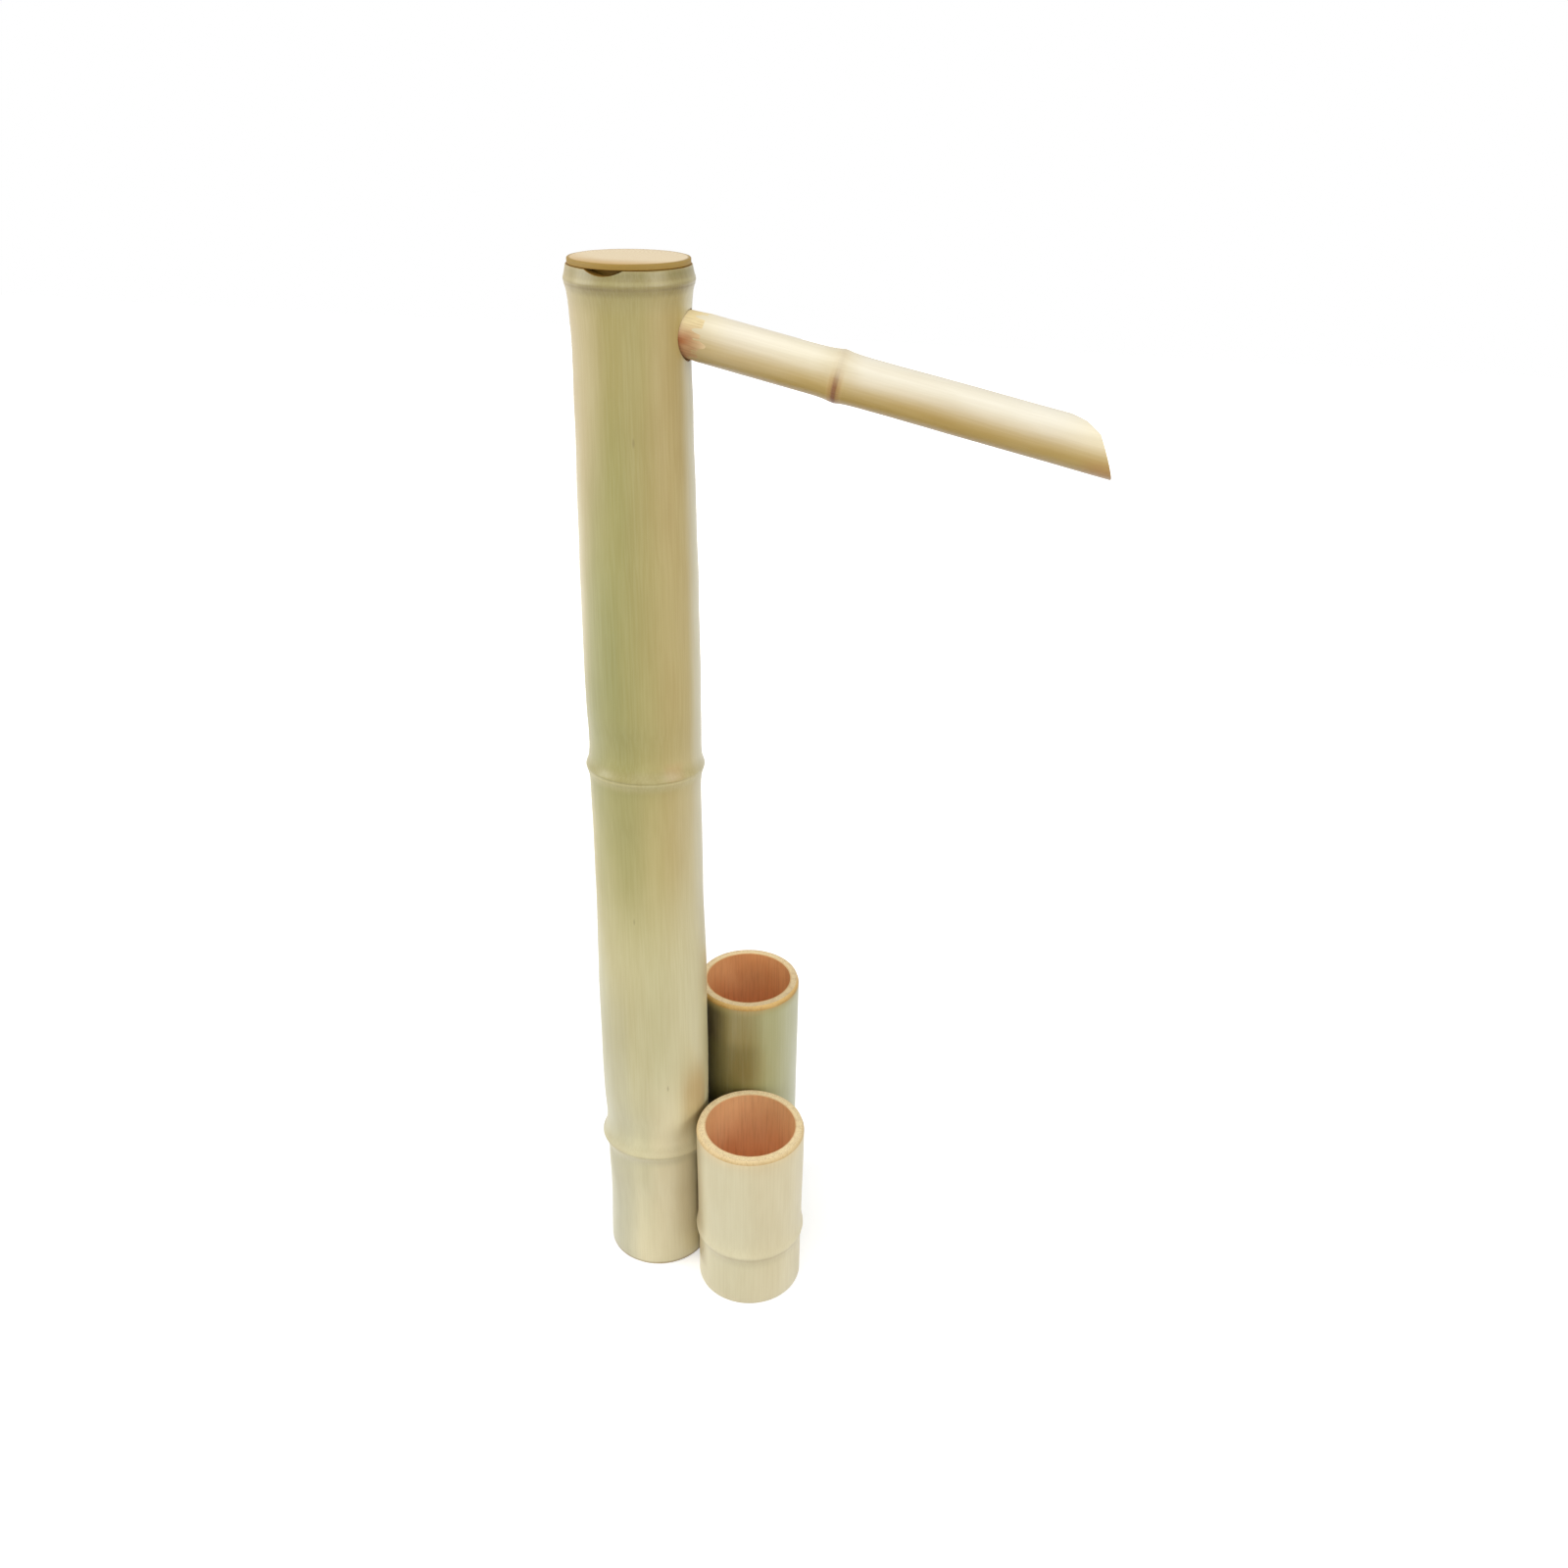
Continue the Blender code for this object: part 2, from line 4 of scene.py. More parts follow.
import bpy
from mathutils import Matrix, Vector


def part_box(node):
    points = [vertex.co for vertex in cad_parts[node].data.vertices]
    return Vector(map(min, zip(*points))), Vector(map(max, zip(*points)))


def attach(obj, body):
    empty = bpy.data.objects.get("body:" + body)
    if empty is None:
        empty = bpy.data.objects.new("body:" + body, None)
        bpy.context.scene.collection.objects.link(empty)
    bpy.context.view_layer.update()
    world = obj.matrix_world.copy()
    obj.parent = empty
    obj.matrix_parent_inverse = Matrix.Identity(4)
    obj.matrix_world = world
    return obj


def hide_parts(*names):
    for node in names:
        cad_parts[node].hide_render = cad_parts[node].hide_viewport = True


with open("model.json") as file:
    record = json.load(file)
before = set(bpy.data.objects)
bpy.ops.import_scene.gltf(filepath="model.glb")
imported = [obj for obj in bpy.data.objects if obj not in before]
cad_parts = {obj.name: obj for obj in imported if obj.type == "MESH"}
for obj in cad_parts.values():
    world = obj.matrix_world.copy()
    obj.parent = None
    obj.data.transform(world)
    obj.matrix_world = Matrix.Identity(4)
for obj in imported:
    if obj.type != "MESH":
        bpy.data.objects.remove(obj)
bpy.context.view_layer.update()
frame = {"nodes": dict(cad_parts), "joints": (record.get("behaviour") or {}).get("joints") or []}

# Studio: a camera at the photograph's angle, a pale floor, and large soft boxes overhead, at both
# sides and, weaker, in front. The floor and the surroundings are white to the eye and greyer as a
# source of light, so that the undersides stay in shade and only the contact shadows show.
LENS = 31.96
SENSOR_WIDTH = 36.0
CAMERA_FROM_POST = Vector((0.2582, -0.8081, 0.0))
CAMERA_HEIGHT = 0.8525
CAMERA_YAW = math.radians(-11.36)
CAMERA_PITCH = math.radians(27.59)
CAMERA_ROLL = math.radians(1.02)
FLOOR_WIDTH = 8.0
FLOOR_WHITE = 0.80
# How much the floor glows by itself near the object, and where it starts and ends to turn all white
FLOOR_LIFT = 0.42
LIFT_FROM = 0.45
LIFT_TO = 1.30
FLOOR_BOUNCE = 0.35
SURROUND_LIGHT = 0.48


def middle(node):
    """The upright axis of a CAD piece, as the middle of its box, on the ground."""
    low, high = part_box(node)
    return Vector(((low.x + high.x) / 2, (low.y + high.y) / 2, 0.0))


def feed(finish, node, inputs):
    """Give a node its inputs, each a value or another node's output."""
    for name, value in inputs.items():
        if isinstance(value, bpy.types.NodeSocket):
            finish.node_tree.links.new(value, node.inputs[name])
        else:
            node.inputs[name].default_value = value


def add(finish, kind, inputs=None, **settings):
    """Put one node in a material or world."""
    node = finish.node_tree.nodes.new("ShaderNode" + kind)
    for name, value in settings.items():
        setattr(node, name, value)
    feed(finish, node, inputs or {})
    return node


def reckon(finish, operation, *values):
    """One step of arithmetic on numbers or outputs."""
    return add(finish, "Math", dict(enumerate(values)), operation=operation).outputs[0]


def between(finish, value, low, high, start=0.0, end=1.0):
    """Rises smoothly from start to end as the value goes from low to high."""
    limits = {"Value": value, "From Min": low, "From Max": high, "To Min": start, "To Max": end}
    return add(finish, "MapRange", limits, interpolation_type='SMOOTHSTEP').outputs[0]


def object_place(finish):
    """A point's place in its own object."""
    return add(finish, "TexCoord").outputs["Object"]


def seen_directly(finish):
    """1 for what the eye sees straight, mirrored or through glass, and 0 for light that bounces."""
    path = add(finish, "LightPath")
    seen = reckon(finish, 'MAXIMUM', path.outputs["Is Camera Ray"], path.outputs["Is Glossy Ray"])
    return reckon(finish, 'MAXIMUM', seen, path.outputs["Is Transmission Ray"])


def set_camera(post_centre):
    forward = Vector((
        math.sin(CAMERA_YAW) * math.cos(CAMERA_PITCH),
        math.cos(CAMERA_YAW) * math.cos(CAMERA_PITCH),
        -math.sin(CAMERA_PITCH)))
    level = Vector((math.cos(CAMERA_YAW), -math.sin(CAMERA_YAW), 0.0))
    upward = level.cross(forward)
    right = math.cos(CAMERA_ROLL) * level + math.sin(CAMERA_ROLL) * upward
    upward = math.cos(CAMERA_ROLL) * upward - math.sin(CAMERA_ROLL) * level
    bpy.ops.object.camera_add()
    camera = bpy.context.object
    camera.name = "photo_camera"
    camera.data.lens = LENS
    camera.data.sensor_width = SENSOR_WIDTH
    camera.data.sensor_fit = 'HORIZONTAL'
    turn = Matrix((right, upward, -forward)).transposed()
    place = post_centre + CAMERA_FROM_POST + Vector((0.0, 0.0, CAMERA_HEIGHT))
    camera.matrix_world = Matrix.Translation(place) @ turn.to_4x4()
    bpy.context.scene.camera = camera


def soft_box(name, place, target, width, power):
    bpy.ops.object.light_add(type='AREA', location=place)
    lamp = bpy.context.object
    lamp.name = name
    lamp.data.shape = 'DISK'
    lamp.data.size = width
    lamp.data.energy = power
    lamp.rotation_euler = (Vector(target) - Vector(place)).to_track_quat('-Z', 'Y').to_euler()


def white_floor():
    bpy.ops.mesh.primitive_plane_add(size=FLOOR_WIDTH, location=(0, 0, 0))
    floor = bpy.context.object
    floor.name = "studio_floor"
    finish = bpy.data.materials.new("studio_white")
    finish.use_nodes = True
    finish.node_tree.nodes.clear()
    paper = add(finish, "BsdfDiffuse", {"Color": (FLOOR_WHITE, FLOOR_WHITE, FLOOR_WHITE, 1)})
    # Past the object's shadow the floor fades to the white of the surroundings
    distance = add(finish, "VectorMath", {0: object_place(finish)}, operation='LENGTH')
    fade = between(finish, distance.outputs["Value"], LIFT_FROM, LIFT_TO, FLOOR_LIFT, 1.0)
    lift = add(finish, "Emission", {"Color": (1, 1, 1, 1), "Strength": fade})
    seen = add(finish, "AddShader", {0: paper.outputs[0], 1: lift.outputs[0]})
    bounce = add(finish, "BsdfDiffuse", {"Color": (FLOOR_BOUNCE, FLOOR_BOUNCE, FLOOR_BOUNCE, 1)})
    both = add(finish, "MixShader", {0: seen_directly(finish), 1: bounce.outputs[0], 2: seen.outputs[0]})
    add(finish, "OutputMaterial", {"Surface": both.outputs[0]})
    floor.data.materials.append(finish)


def white_surroundings():
    world = bpy.data.worlds.new("studio_surroundings")
    world.use_nodes = True
    world.node_tree.nodes.clear()
    spread = reckon(world, 'MULTIPLY_ADD', seen_directly(world), 1.0 - SURROUND_LIGHT, SURROUND_LIGHT)
    light = add(world, "Background", {"Color": (1, 1, 1, 1), "Strength": spread})
    add(world, "OutputWorld", {"Surface": light.outputs[0]})
    bpy.context.scene.world = world


post_foot = middle("top_lid")
set_camera(post_foot)
white_floor()
white_surroundings()
soft_box("overhead_box", (-0.10, -0.25, 2.2), (0, 0, 0.45), width=1.5, power=9.5)
soft_box("left_box", (-2.0, -0.75, 1.1), (0, 0, 0.38), width=1.5, power=24.0)
soft_box("right_box", (2.0, -0.95, 1.1), (0, 0, 0.38), width=1.5, power=22.0)
soft_box("front_box", (0.30, -2.2, 1.15), (0, 0, 0.35), width=1.6, power=12.0)
bpy.context.scene.view_settings.view_transform = 'Standard'

# Post: a length of dried bamboo culm, sawn just over its third node. Its two lower diaphragms are
# drilled for the hose. The spout's round mortise, the hose's hole and the screws' holes are drilled
# through its wall, and a shallow dip is cut in its rim.
CULM_SIDES = 144
RIM_ROUND = 0.0007
RIM_BEVEL = 0.0005
DIAPHRAGM = 0.0022
DIAPHRAGM_HOLE = 0.0100
DIAPHRAGM_EDGE = 0.0004
FILLET = 0.0050
# What a node adds to the radius, as shares of its rise: a flare that grows towards the scar of the
# fallen sheath, the scar's sharp ledge, a thin groove and the fine lip under it
NODE_RELIEF = (
    (-0.0160, 0.0), (-0.0120, 0.06), (-0.0085, 0.18), (-0.0060, 0.34), (-0.0040, 0.54), (-0.0028, 0.70),
    (-0.0021, 0.80), (-0.0015, 0.84), (-0.0010, 0.85), (-0.0006, 0.90), (-0.0002, 0.97), (0.0004, 1.0),
    (0.0010, 0.96), (0.0020, 0.84), (0.0034, 0.62), (0.0055, 0.38), (0.0080, 0.20), (0.0115, 0.08),
    (0.0160, 0.0),
)
POST_TOP = 0.7465
POST_WALL = 0.0068
LOWER_NODE = 0.107
MIDDLE_NODE = 0.427
TOP_NODE = 0.738
POST_NODES = ((LOWER_NODE, 0.0040), (MIDDLE_NODE, 0.0026), (TOP_NODE, 0.0022))
POST_STATIONS = (
    (0.000, 0.0396), (0.060, 0.0380), (0.098, 0.0380), (0.119, 0.0393), (0.174, 0.0399), (0.245, 0.0395),
    (0.333, 0.0380), (0.415, 0.0375), (0.484, 0.0381), (0.552, 0.0376), (0.606, 0.0366), (0.657, 0.0356),
    (0.700, 0.0350), (0.732, 0.0359), (0.7465, 0.0362),
)
# How many degrees the fronts of the two lower nodes' rings are lifted
LOWER_LEAN = 6.0
MIDDLE_LEAN = 4.8
LEAN_HALF_HEIGHT = 0.006
LEAN_REACH = 0.040
MORTISE_RADIUS = 0.0145
MORTISE_DROP = 0.0005
MORTISE_FROM = 0.012
MORTISE_DEPTH = 0.060
HOSE_HOLE_RADIUS = 0.0053
HOSE_HOLE_HEIGHT = 0.050
HOSE_HOLE_FROM = 0.020
HOSE_HOLE_DEPTH = 0.030
SCREW_CUPS = {
    "short_screw_1": "short_cup", "short_screw_2": "short_cup",
    "tall_screw_1": "tall_cup", "tall_screw_2": "tall_cup",
}
PILOT_RADIUS = 0.0021
PILOT_SIDES = 24
POST_PILOT_FROM = 0.045
POST_PILOT_DEPTH = 0.025
DIP_WIDTH = 0.024
DIP_DEPTH = 0.0032
DIP_DIRECTION = math.radians(-97.5)
DIP_FROM = 0.020
DIP_LENGTH = 0.030
POST_END = (0.029, 0.0357)
# How far down from the rim the end grain is painted darker, as shade under the lid
RIM_SHADE_DEPTH = 0.007
SOILED_DEPTH = 0.055
SMOOTH_UNDER = math.radians(34)
MERGE_WITHIN = 0.00001
# Skin faces outwards and lies well outside the hollow. A cut lies a little outside the hollow and faces
# neither straight out nor straight in.
SKIN_FACING = 0.35
SKIN_CLEARANCE = 0.0012
CUT_FACING = 0.8
CUT_CLEARANCE = 0.0004


def clear_selection():
    for other in bpy.context.selected_objects:
        other.select_set(False)


def take_up(piece):
    """Make this piece the only one selected."""
    clear_selection()
    piece.select_set(True)
    bpy.context.view_layer.objects.active = piece


def eased(station, stations):
    """Radius of the plain culm between its stations, along a smooth curve."""
    for (low, low_radius), (high, high_radius) in zip(stations, stations[1:]):
        if low <= station <= high:
            share = (1 - math.cos(math.pi * (station - low) / (high - low))) / 2
            return low_radius + (high_radius - low_radius) * share
    return stations[0][1] if station < stations[0][0] else stations[-1][1]


def relief(offset):
    for (low, low_share), (high, high_share) in zip(NODE_RELIEF, NODE_RELIEF[1:]):
        if low <= offset <= high:
            return low_share + (high_share - low_share) * (offset - low) / (high - low)
    return 0.0


def culm_skin_line(stations, nodes, foot, rim, spacing=0.006):
    """The outer side from foot to rim, with rounded sawn edges, as (radius, station) points."""
    near = NODE_RELIEF[-1][0]
    count = math.ceil((rim - foot) / spacing)
    marks = [foot + (rim - foot) * step / count for step in range(1, count)]
    marks = [m for m in marks if all(abs(m - node) > near for node, _ in nodes)]
    for node, _ in nodes:
        marks += [node + offset for offset, _ in NODE_RELIEF]
    marks = sorted(m for m in marks if foot + 2 * RIM_ROUND < m < rim - 2 * RIM_ROUND)
    line = rounded_edge(eased(foot, stations), foot, RIM_ROUND, 1)
    for mark in marks:
        rise = sum(height * relief(mark - node) for node, height in nodes)
        line.append((eased(mark, stations) + rise, mark))
    outer = eased(rim, stations) + sum(height * relief(rim - node) for node, height in nodes)
    return line + rounded_edge(outer, rim, RIM_ROUND, -1)[::-1]


def quarter_circle(steps):
    return [math.pi / 2 * step / steps for step in range(steps + 1)]


def rounded_edge(radius, level, size, way):
    """An outer edge, from its flat face to the side; way is 1 for an underside and -1 for a top."""
    return [
        (radius - size * (1 - math.sin(angle)), level + way * size * (1 - math.cos(angle)))
        for angle in quarter_circle(3)]


def fillet(inner, level, way):
    """A grown diaphragm's curve into the wall; way is 1 above the diaphragm and -1 below it."""
    return [
        (inner - FILLET + FILLET * math.cos(angle), level + way * FILLET * (1 - math.sin(angle)))
        for angle in quarter_circle(5)]


def drilled_diaphragm(inner, level):
    """Down past one diaphragm with a hole through it."""
    upper = fillet(inner, level + DIAPHRAGM, 1)
    lower = fillet(inner, level - DIAPHRAGM, -1)
    softened = DIAPHRAGM_HOLE + DIAPHRAGM_EDGE
    hole = [
        (softened, level + DIAPHRAGM), (DIAPHRAGM_HOLE, level + DIAPHRAGM - DIAPHRAGM_EDGE),
        (DIAPHRAGM_HOLE, level - DIAPHRAGM + DIAPHRAGM_EDGE), (softened, level - DIAPHRAGM)]
    return upper + hole + lower[::-1]


def close_skin():
    """Merge the doubled points of the mesh in hand, and turn its faces outwards."""
    bpy.ops.mesh.select_all(action='SELECT')
    bpy.ops.mesh.remove_doubles(threshold=MERGE_WITHIN)
    bpy.ops.mesh.normals_make_consistent(inside=False)
    bpy.ops.object.mode_set(mode='OBJECT')


def draw_and_spin(name, line, foot, along, sides, closed):
    """Draw a line point by point beside an axis, and spin it round the axis into a closed skin."""
    sideways = Vector((1, 0, 0)) if abs(along.y) > 0.9 else Vector((0, -1, 0))
    across = along.cross(sideways).normalized()
    points = [foot + across * radius + along * station for radius, station in line]
    if closed:
        points.append(points[0])
    clear_selection()
    bpy.ops.mesh.primitive_plane_add(size=0.001, location=points[0])
    piece = bpy.context.object
    piece.name = name
    piece.data.name = name
    bpy.ops.object.transform_apply(location=True, rotation=True, scale=True)
    bpy.ops.object.mode_set(mode='EDIT')
    bpy.ops.mesh.merge(type='CENTER')
    for start, end in zip(points, points[1:]):
        bpy.ops.mesh.extrude_vertices_move(TRANSFORM_OT_translate={"value": end - start})
    bpy.ops.mesh.select_all(action='SELECT')
    bpy.ops.mesh.remove_doubles(threshold=MERGE_WITHIN)
    bpy.ops.mesh.spin(steps=sides, angle=math.tau, center=foot, axis=along)
    close_skin()
    return piece


def use_modifier(piece, kind, **settings):
    """Add a modifier with these settings and apply it."""
    take_up(piece)
    modifier = piece.modifiers.new(kind.lower(), kind)
    for name, value in settings.items():
        setattr(modifier, name, value)
    bpy.ops.object.modifier_apply(modifier=modifier.name)


def weather(piece, swell, grain=0.045):
    """Draw the skin in a little here and there, as dried bamboo and wood shrink unevenly."""
    texture = bpy.data.textures.new(piece.name + "_shrinkage", 'CLOUDS')
    texture.noise_scale = grain
    texture.noise_depth = 2
    use_modifier(
        piece, 'DISPLACE', texture=texture, strength=swell, mid_level=0.6, texture_coords='LOCAL')
    bpy.data.textures.remove(texture)


def lean_node(piece, centre, degrees):
    """Lift the front of a node's ring a little, as rings seldom grow quite square to the culm."""
    take_up(piece)
    for vertex in piece.data.vertices:
        vertex.select = abs(vertex.co.z - centre.z) < LEAN_HALF_HEIGHT
    for edge in piece.data.edges:
        edge.select = all(piece.data.vertices[end].select for end in edge.vertices)
    for face in piece.data.polygons:
        face.select = all(piece.data.vertices[corner].select for corner in face.vertices)
    bpy.ops.object.mode_set(mode='EDIT')
    bpy.ops.transform.rotate(
        value=math.radians(degrees), orient_axis='X', center_override=centre,
        use_proportional_edit=True, proportional_edit_falloff='SMOOTH', proportional_size=LEAN_REACH)
    bpy.ops.object.mode_set(mode='OBJECT')


def drill(piece, radius, start, along, depth, sides=48):
    """Drill a round hole from a point along a direction."""
    along = Vector(along).normalized()
    clear_selection()
    bpy.ops.mesh.primitive_cylinder_add(
        vertices=sides, radius=radius, depth=depth, location=Vector(start) + along * depth / 2,
        rotation=along.to_track_quat('Z', 'Y').to_euler())
    cut_away(piece, bpy.context.object)


def cut_away(piece, cutter):
    use_modifier(piece, 'BOOLEAN', operation='DIFFERENCE', solver='EXACT', object=cutter)
    bpy.data.objects.remove(cutter, do_unlink=True)


def finish_surfaces(piece, finishes, pick=None):
    """Give the piece its finishes, and each face the number that pick gives for its place and slope."""
    piece.data.materials.clear()
    for finish in finishes:
        piece.data.materials.append(finish)
    for face in piece.data.polygons:
        face.material_index = pick(face.center, face.normal) if pick else 0
    take_up(piece)
    bpy.ops.object.shade_smooth_by_angle(angle=SMOOTH_UNDER)


def place_on_culm(centre, normal, foot, along):
    """A face's station, its distance from the axis and how squarely it faces outwards."""
    offset = centre - foot
    station = offset.dot(along)
    outward = offset - along * station
    facing = normal.dot(outward.normalized()) if outward.length > 0.0001 else 0.0
    return station, outward.length, facing


def paint(red, green, blue, cover=1.0):
    """A colour as it looks on screen, 0 to 255, as the shader's own linear numbers."""
    screen = [value / 255 for value in (red, green, blue)]
    linear = [s / 12.92 if s <= 0.04045 else ((s + 0.055) / 1.055) ** 2.4 for s in screen]
    return (*linear, cover)


def ramp(finish, share, stops):
    """A colour ramp with stops of (position, colour)."""
    node = add(finish, "ValToRGB", {"Fac": share})
    band = node.color_ramp
    band.interpolation = 'EASE'
    while len(band.elements) < len(stops):
        band.elements.new(1.0)
    for element, (position, colour) in zip(band.elements, stops):
        element.position = position
        element.color = paint(*colour)
    return node


def over(finish, share, under, upper, mode='MIX'):
    """One colour laid over another by a share of 0 to 1."""
    layers = {0: share, 6: under, 7: upper}
    return add(finish, "Mix", layers, data_type='RGBA', blend_type=mode).outputs[2]


def wash(finish, colour, pattern, low, high, most, shade, mode='MULTIPLY'):
    """A wash of a shade over a colour, none at a pattern's low and most at its high."""
    return over(finish, between(finish, pattern, low, high, 0.0, most), colour, paint(*shade), mode)


def product(finish, first, *others):
    """All of these multiplied together."""
    for other in others:
        first = reckon(finish, 'MULTIPLY', first, other)
    return first


def aimed(finish, x, y, across, along):
    """How far a place lies in a level direction from the axis."""
    return reckon(finish, 'MULTIPLY_ADD', x, across, reckon(finish, 'MULTIPLY', y, along))


def from_axis(finish, x, y):
    """How far a place lies from the axis, whichever the direction."""
    return reckon(finish, 'SQRT', aimed(finish, x, y, x, y))


def own_place(finish, foot, along):
    """A point's place in a culm's own frame: its foot at the origin, its length along Z."""
    turn = Vector((0, 0, 1)).rotation_difference(Vector(along)).to_euler()
    from_foot = {"Vector": object_place(finish), "Location": foot, "Rotation": turn}
    return add(finish, "Mapping", from_foot, vector_type='TEXTURE').outputs[0]


def mottle(finish, place, stretch, scale, detail, rough, seed=0.0):
    """Soft noise of 0 to 1, drawn out along the culm by a stretch below 1."""
    stretched = {"Vector": place, "Location": (seed, seed, seed), "Scale": (1, 1, stretch)}
    drawn = add(finish, "Mapping", stretched).outputs[0]
    noise = {"Vector": drawn, "Scale": scale, "Detail": detail, "Roughness": rough}
    return add(finish, "TexNoise", noise).outputs["Fac"]


def new_finish(name):
    finish = bpy.data.materials.new(name)
    finish.use_nodes = True
    return finish


def dress(finish, colour, roughness, height, strength, distance, others=None):
    """Give the surface its colour and roughness, bumps from a height, and any other properties."""
    bump = add(finish, "Bump", {"Height": height, "Strength": strength, "Distance": distance})
    surface = {"Base Color": colour, "Roughness": roughness, "Normal": bump.outputs[0], **(others or {})}
    feed(finish, finish.node_tree.nodes["Principled BSDF"], surface)
    return finish


def bamboo_skin(name, foot, along, length, bands, tints, marks, seed=0.0, blur=0.06):
    """The waxy green-tan skin. bands are colours up the culm, tints are colours that face one way
    (direction, width, colour and cover, from, to) with ends blurred over a share of the length, and marks
    go round a node, strongest where they face (station, span, lean, direction, share behind, stops)."""
    finish = new_finish(name)
    place = own_place(finish, foot, along)
    x, y, z = add(finish, "SeparateXYZ", {0: place}).outputs
    radius = from_axis(finish, x, y)
    streaks = mottle(finish, place, 0.02, 900.0, 4.0, 0.6, seed)
    cloud = mottle(finish, place, 0.25, 34.0, 3.0, 0.55, seed)

    def facing(direction):
        aim = math.radians(direction)
        return reckon(finish, 'DIVIDE', aimed(finish, x, y, math.cos(aim), math.sin(aim)), radius)

    # Each band's edge wanders up and down a little
    wander = reckon(finish, 'MULTIPLY_ADD', cloud, 0.05, -0.025)
    up = reckon(finish, 'ADD', reckon(finish, 'DIVIDE', z, length), wander)
    colour = ramp(finish, up, bands).outputs[0]
    for direction, width, tint, low, high in tints:
        share = between(finish, facing(direction), math.cos(math.radians(width)), 1.0, 0.0, tint[3])
        edge = min(blur * length, 0.4 * (high - low))
        above = between(finish, z, low, low + edge)
        below = between(finish, z, high - edge, high, 1.0, 0.0)
        blotch = between(finish, cloud, 0.2, 0.6, 0.7, 1.0)
        colour = over(finish, product(finish, share, above, below, blotch), colour, paint(*tint))
    for station, span, lean, direction, behind, stops in marks:
        level = reckon(finish, 'MULTIPLY_ADD', y, math.tan(math.radians(lean)), z)
        share = reckon(finish, 'MULTIPLY_ADD', level, 1 / span, 0.5 - station / span)
        band = ramp(finish, share, stops)
        patchy = between(finish, cloud, 0.25, 0.6, 0.6, 1.0)
        turned = between(finish, facing(direction), -0.1, 0.7, behind, 1.0)
        share = product(finish, band.outputs["Alpha"], patchy, turned)
        colour = over(finish, share, colour, band.outputs["Color"])
    colour = wash(finish, colour, cloud, 0.35, 0.75, 0.22, (202, 184, 138))
    colour = wash(finish, colour, streaks, 0.35, 0.75, 0.08, (190, 170, 126))
    colour = wash(finish, colour, streaks, 0.60, 0.30, 0.03, (255, 250, 225), 'SCREEN')
    # A few dark flecks, drawn out along the fibres
    fleck_place = add(finish, "Mapping", {"Vector": place, "Scale": (1, 1, 0.28)}).outputs[0]
    fleck = add(finish, "TexVoronoi", {"Vector": fleck_place, "Scale": 95.0, "Randomness": 1.0})
    spot = between(finish, fleck.outputs["Distance"], 0.10, 0.03)
    chance = add(finish, "SeparateColor", {0: fleck.outputs["Color"]}).outputs[0]
    rare = reckon(finish, 'GREATER_THAN', chance, 0.84)
    colour = over(finish, product(finish, spot, rare, 0.35), colour, paint(110, 90, 50))
    sheen = between(finish, cloud, 0.2, 0.8, 0.34, 0.52)
    wax = {"Coat Weight": 0.3, "Coat Roughness": 0.32}
    return dress(finish, colour, sheen, streaks, 0.2, 0.00012, wax)


def bamboo_end_grain(name, foot, along, inner, outer, pale, rind):
    """A sawn end: pale pith with dark bundle dots that crowd towards the skin, and saw marks."""
    finish = new_finish(name)
    x, y, _ = add(finish, "SeparateXYZ", {0: own_place(finish, foot, along)}).outputs
    outward = between(finish, from_axis(finish, x, y), inner, outer)
    flat = add(finish, "CombineXYZ", {0: x, 1: y}).outputs[0]
    colour = ramp(finish, outward, ((0.0, rind), (0.16, pale), (0.80, pale), (1.0, rind))).outputs[0]
    for scale, low, high in ((900.0, 0.0, 0.55), (1500.0, 0.45, 0.9)):
        dots = add(finish, "TexVoronoi", {"Vector": flat, "Scale": scale}, voronoi_dimensions='2D')
        dot = between(finish, dots.outputs["Distance"], 0.42, 0.18, 0.0, 0.35)
        crowding = between(finish, outward, low, high, 0.25, 1.0)
        colour = over(finish, product(finish, dot, crowding), colour, paint(150, 108, 58))
    saw = mottle(finish, flat, 1.0, 260.0, 4.0, 0.7)
    colour = wash(finish, colour, saw, 0.4, 0.8, 0.35, (190, 150, 98))
    return dress(finish, colour, 0.68, saw, 0.4, 0.0002)


def bamboo_inside(name, foot, along, light, dark, rim):
    """The hollow: a dry, papery, orange-brown lining with fine wrinkles, soiled near the rim."""
    finish = new_finish(name)
    place = own_place(finish, foot, along)
    wrinkles = mottle(finish, place, 0.05, 620.0, 4.0, 0.6)
    cloud = mottle(finish, place, 0.5, 55.0, 3.0, 0.5)
    station = add(finish, "SeparateXYZ", {0: place}).outputs[2]
    colour = over(finish, between(finish, cloud, 0.3, 0.7), paint(*dark), paint(*light))
    colour = wash(finish, colour, station, rim - SOILED_DEPTH, rim, 1.0, (208, 196, 180))
    colour = wash(finish, colour, wrinkles, 0.4, 0.8, 0.25, (150, 100, 66))
    return dress(finish, colour, 0.74, wrinkles, 0.35, 0.0003)


def post_surface(centre, normal):
    """0 skin, 1 drilled holes and foot, 2 the hollow, 3 rim and socket, a darker ochre as painted shade
    under the lid.
    """
    station, radius, facing = place_on_culm(centre, normal, post_foot, upward)
    into_wall = radius - (eased(station, POST_STATIONS) - POST_WALL)
    if facing > SKIN_FACING and into_wall > SKIN_CLEARANCE:
        return 0
    if station > POST_TOP - RIM_SHADE_DEPTH:
        return 3
    return 1 if into_wall > CUT_CLEARANCE and abs(facing) < CUT_FACING else 2


def screw_place(screw):
    """A cup screw's height, its cup's axis, and its direction into the post."""
    low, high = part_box(screw)
    cup_axis = middle(SCREW_CUPS[screw])
    return (low.z + high.z) / 2, cup_axis, (post_foot - cup_axis).normalized()


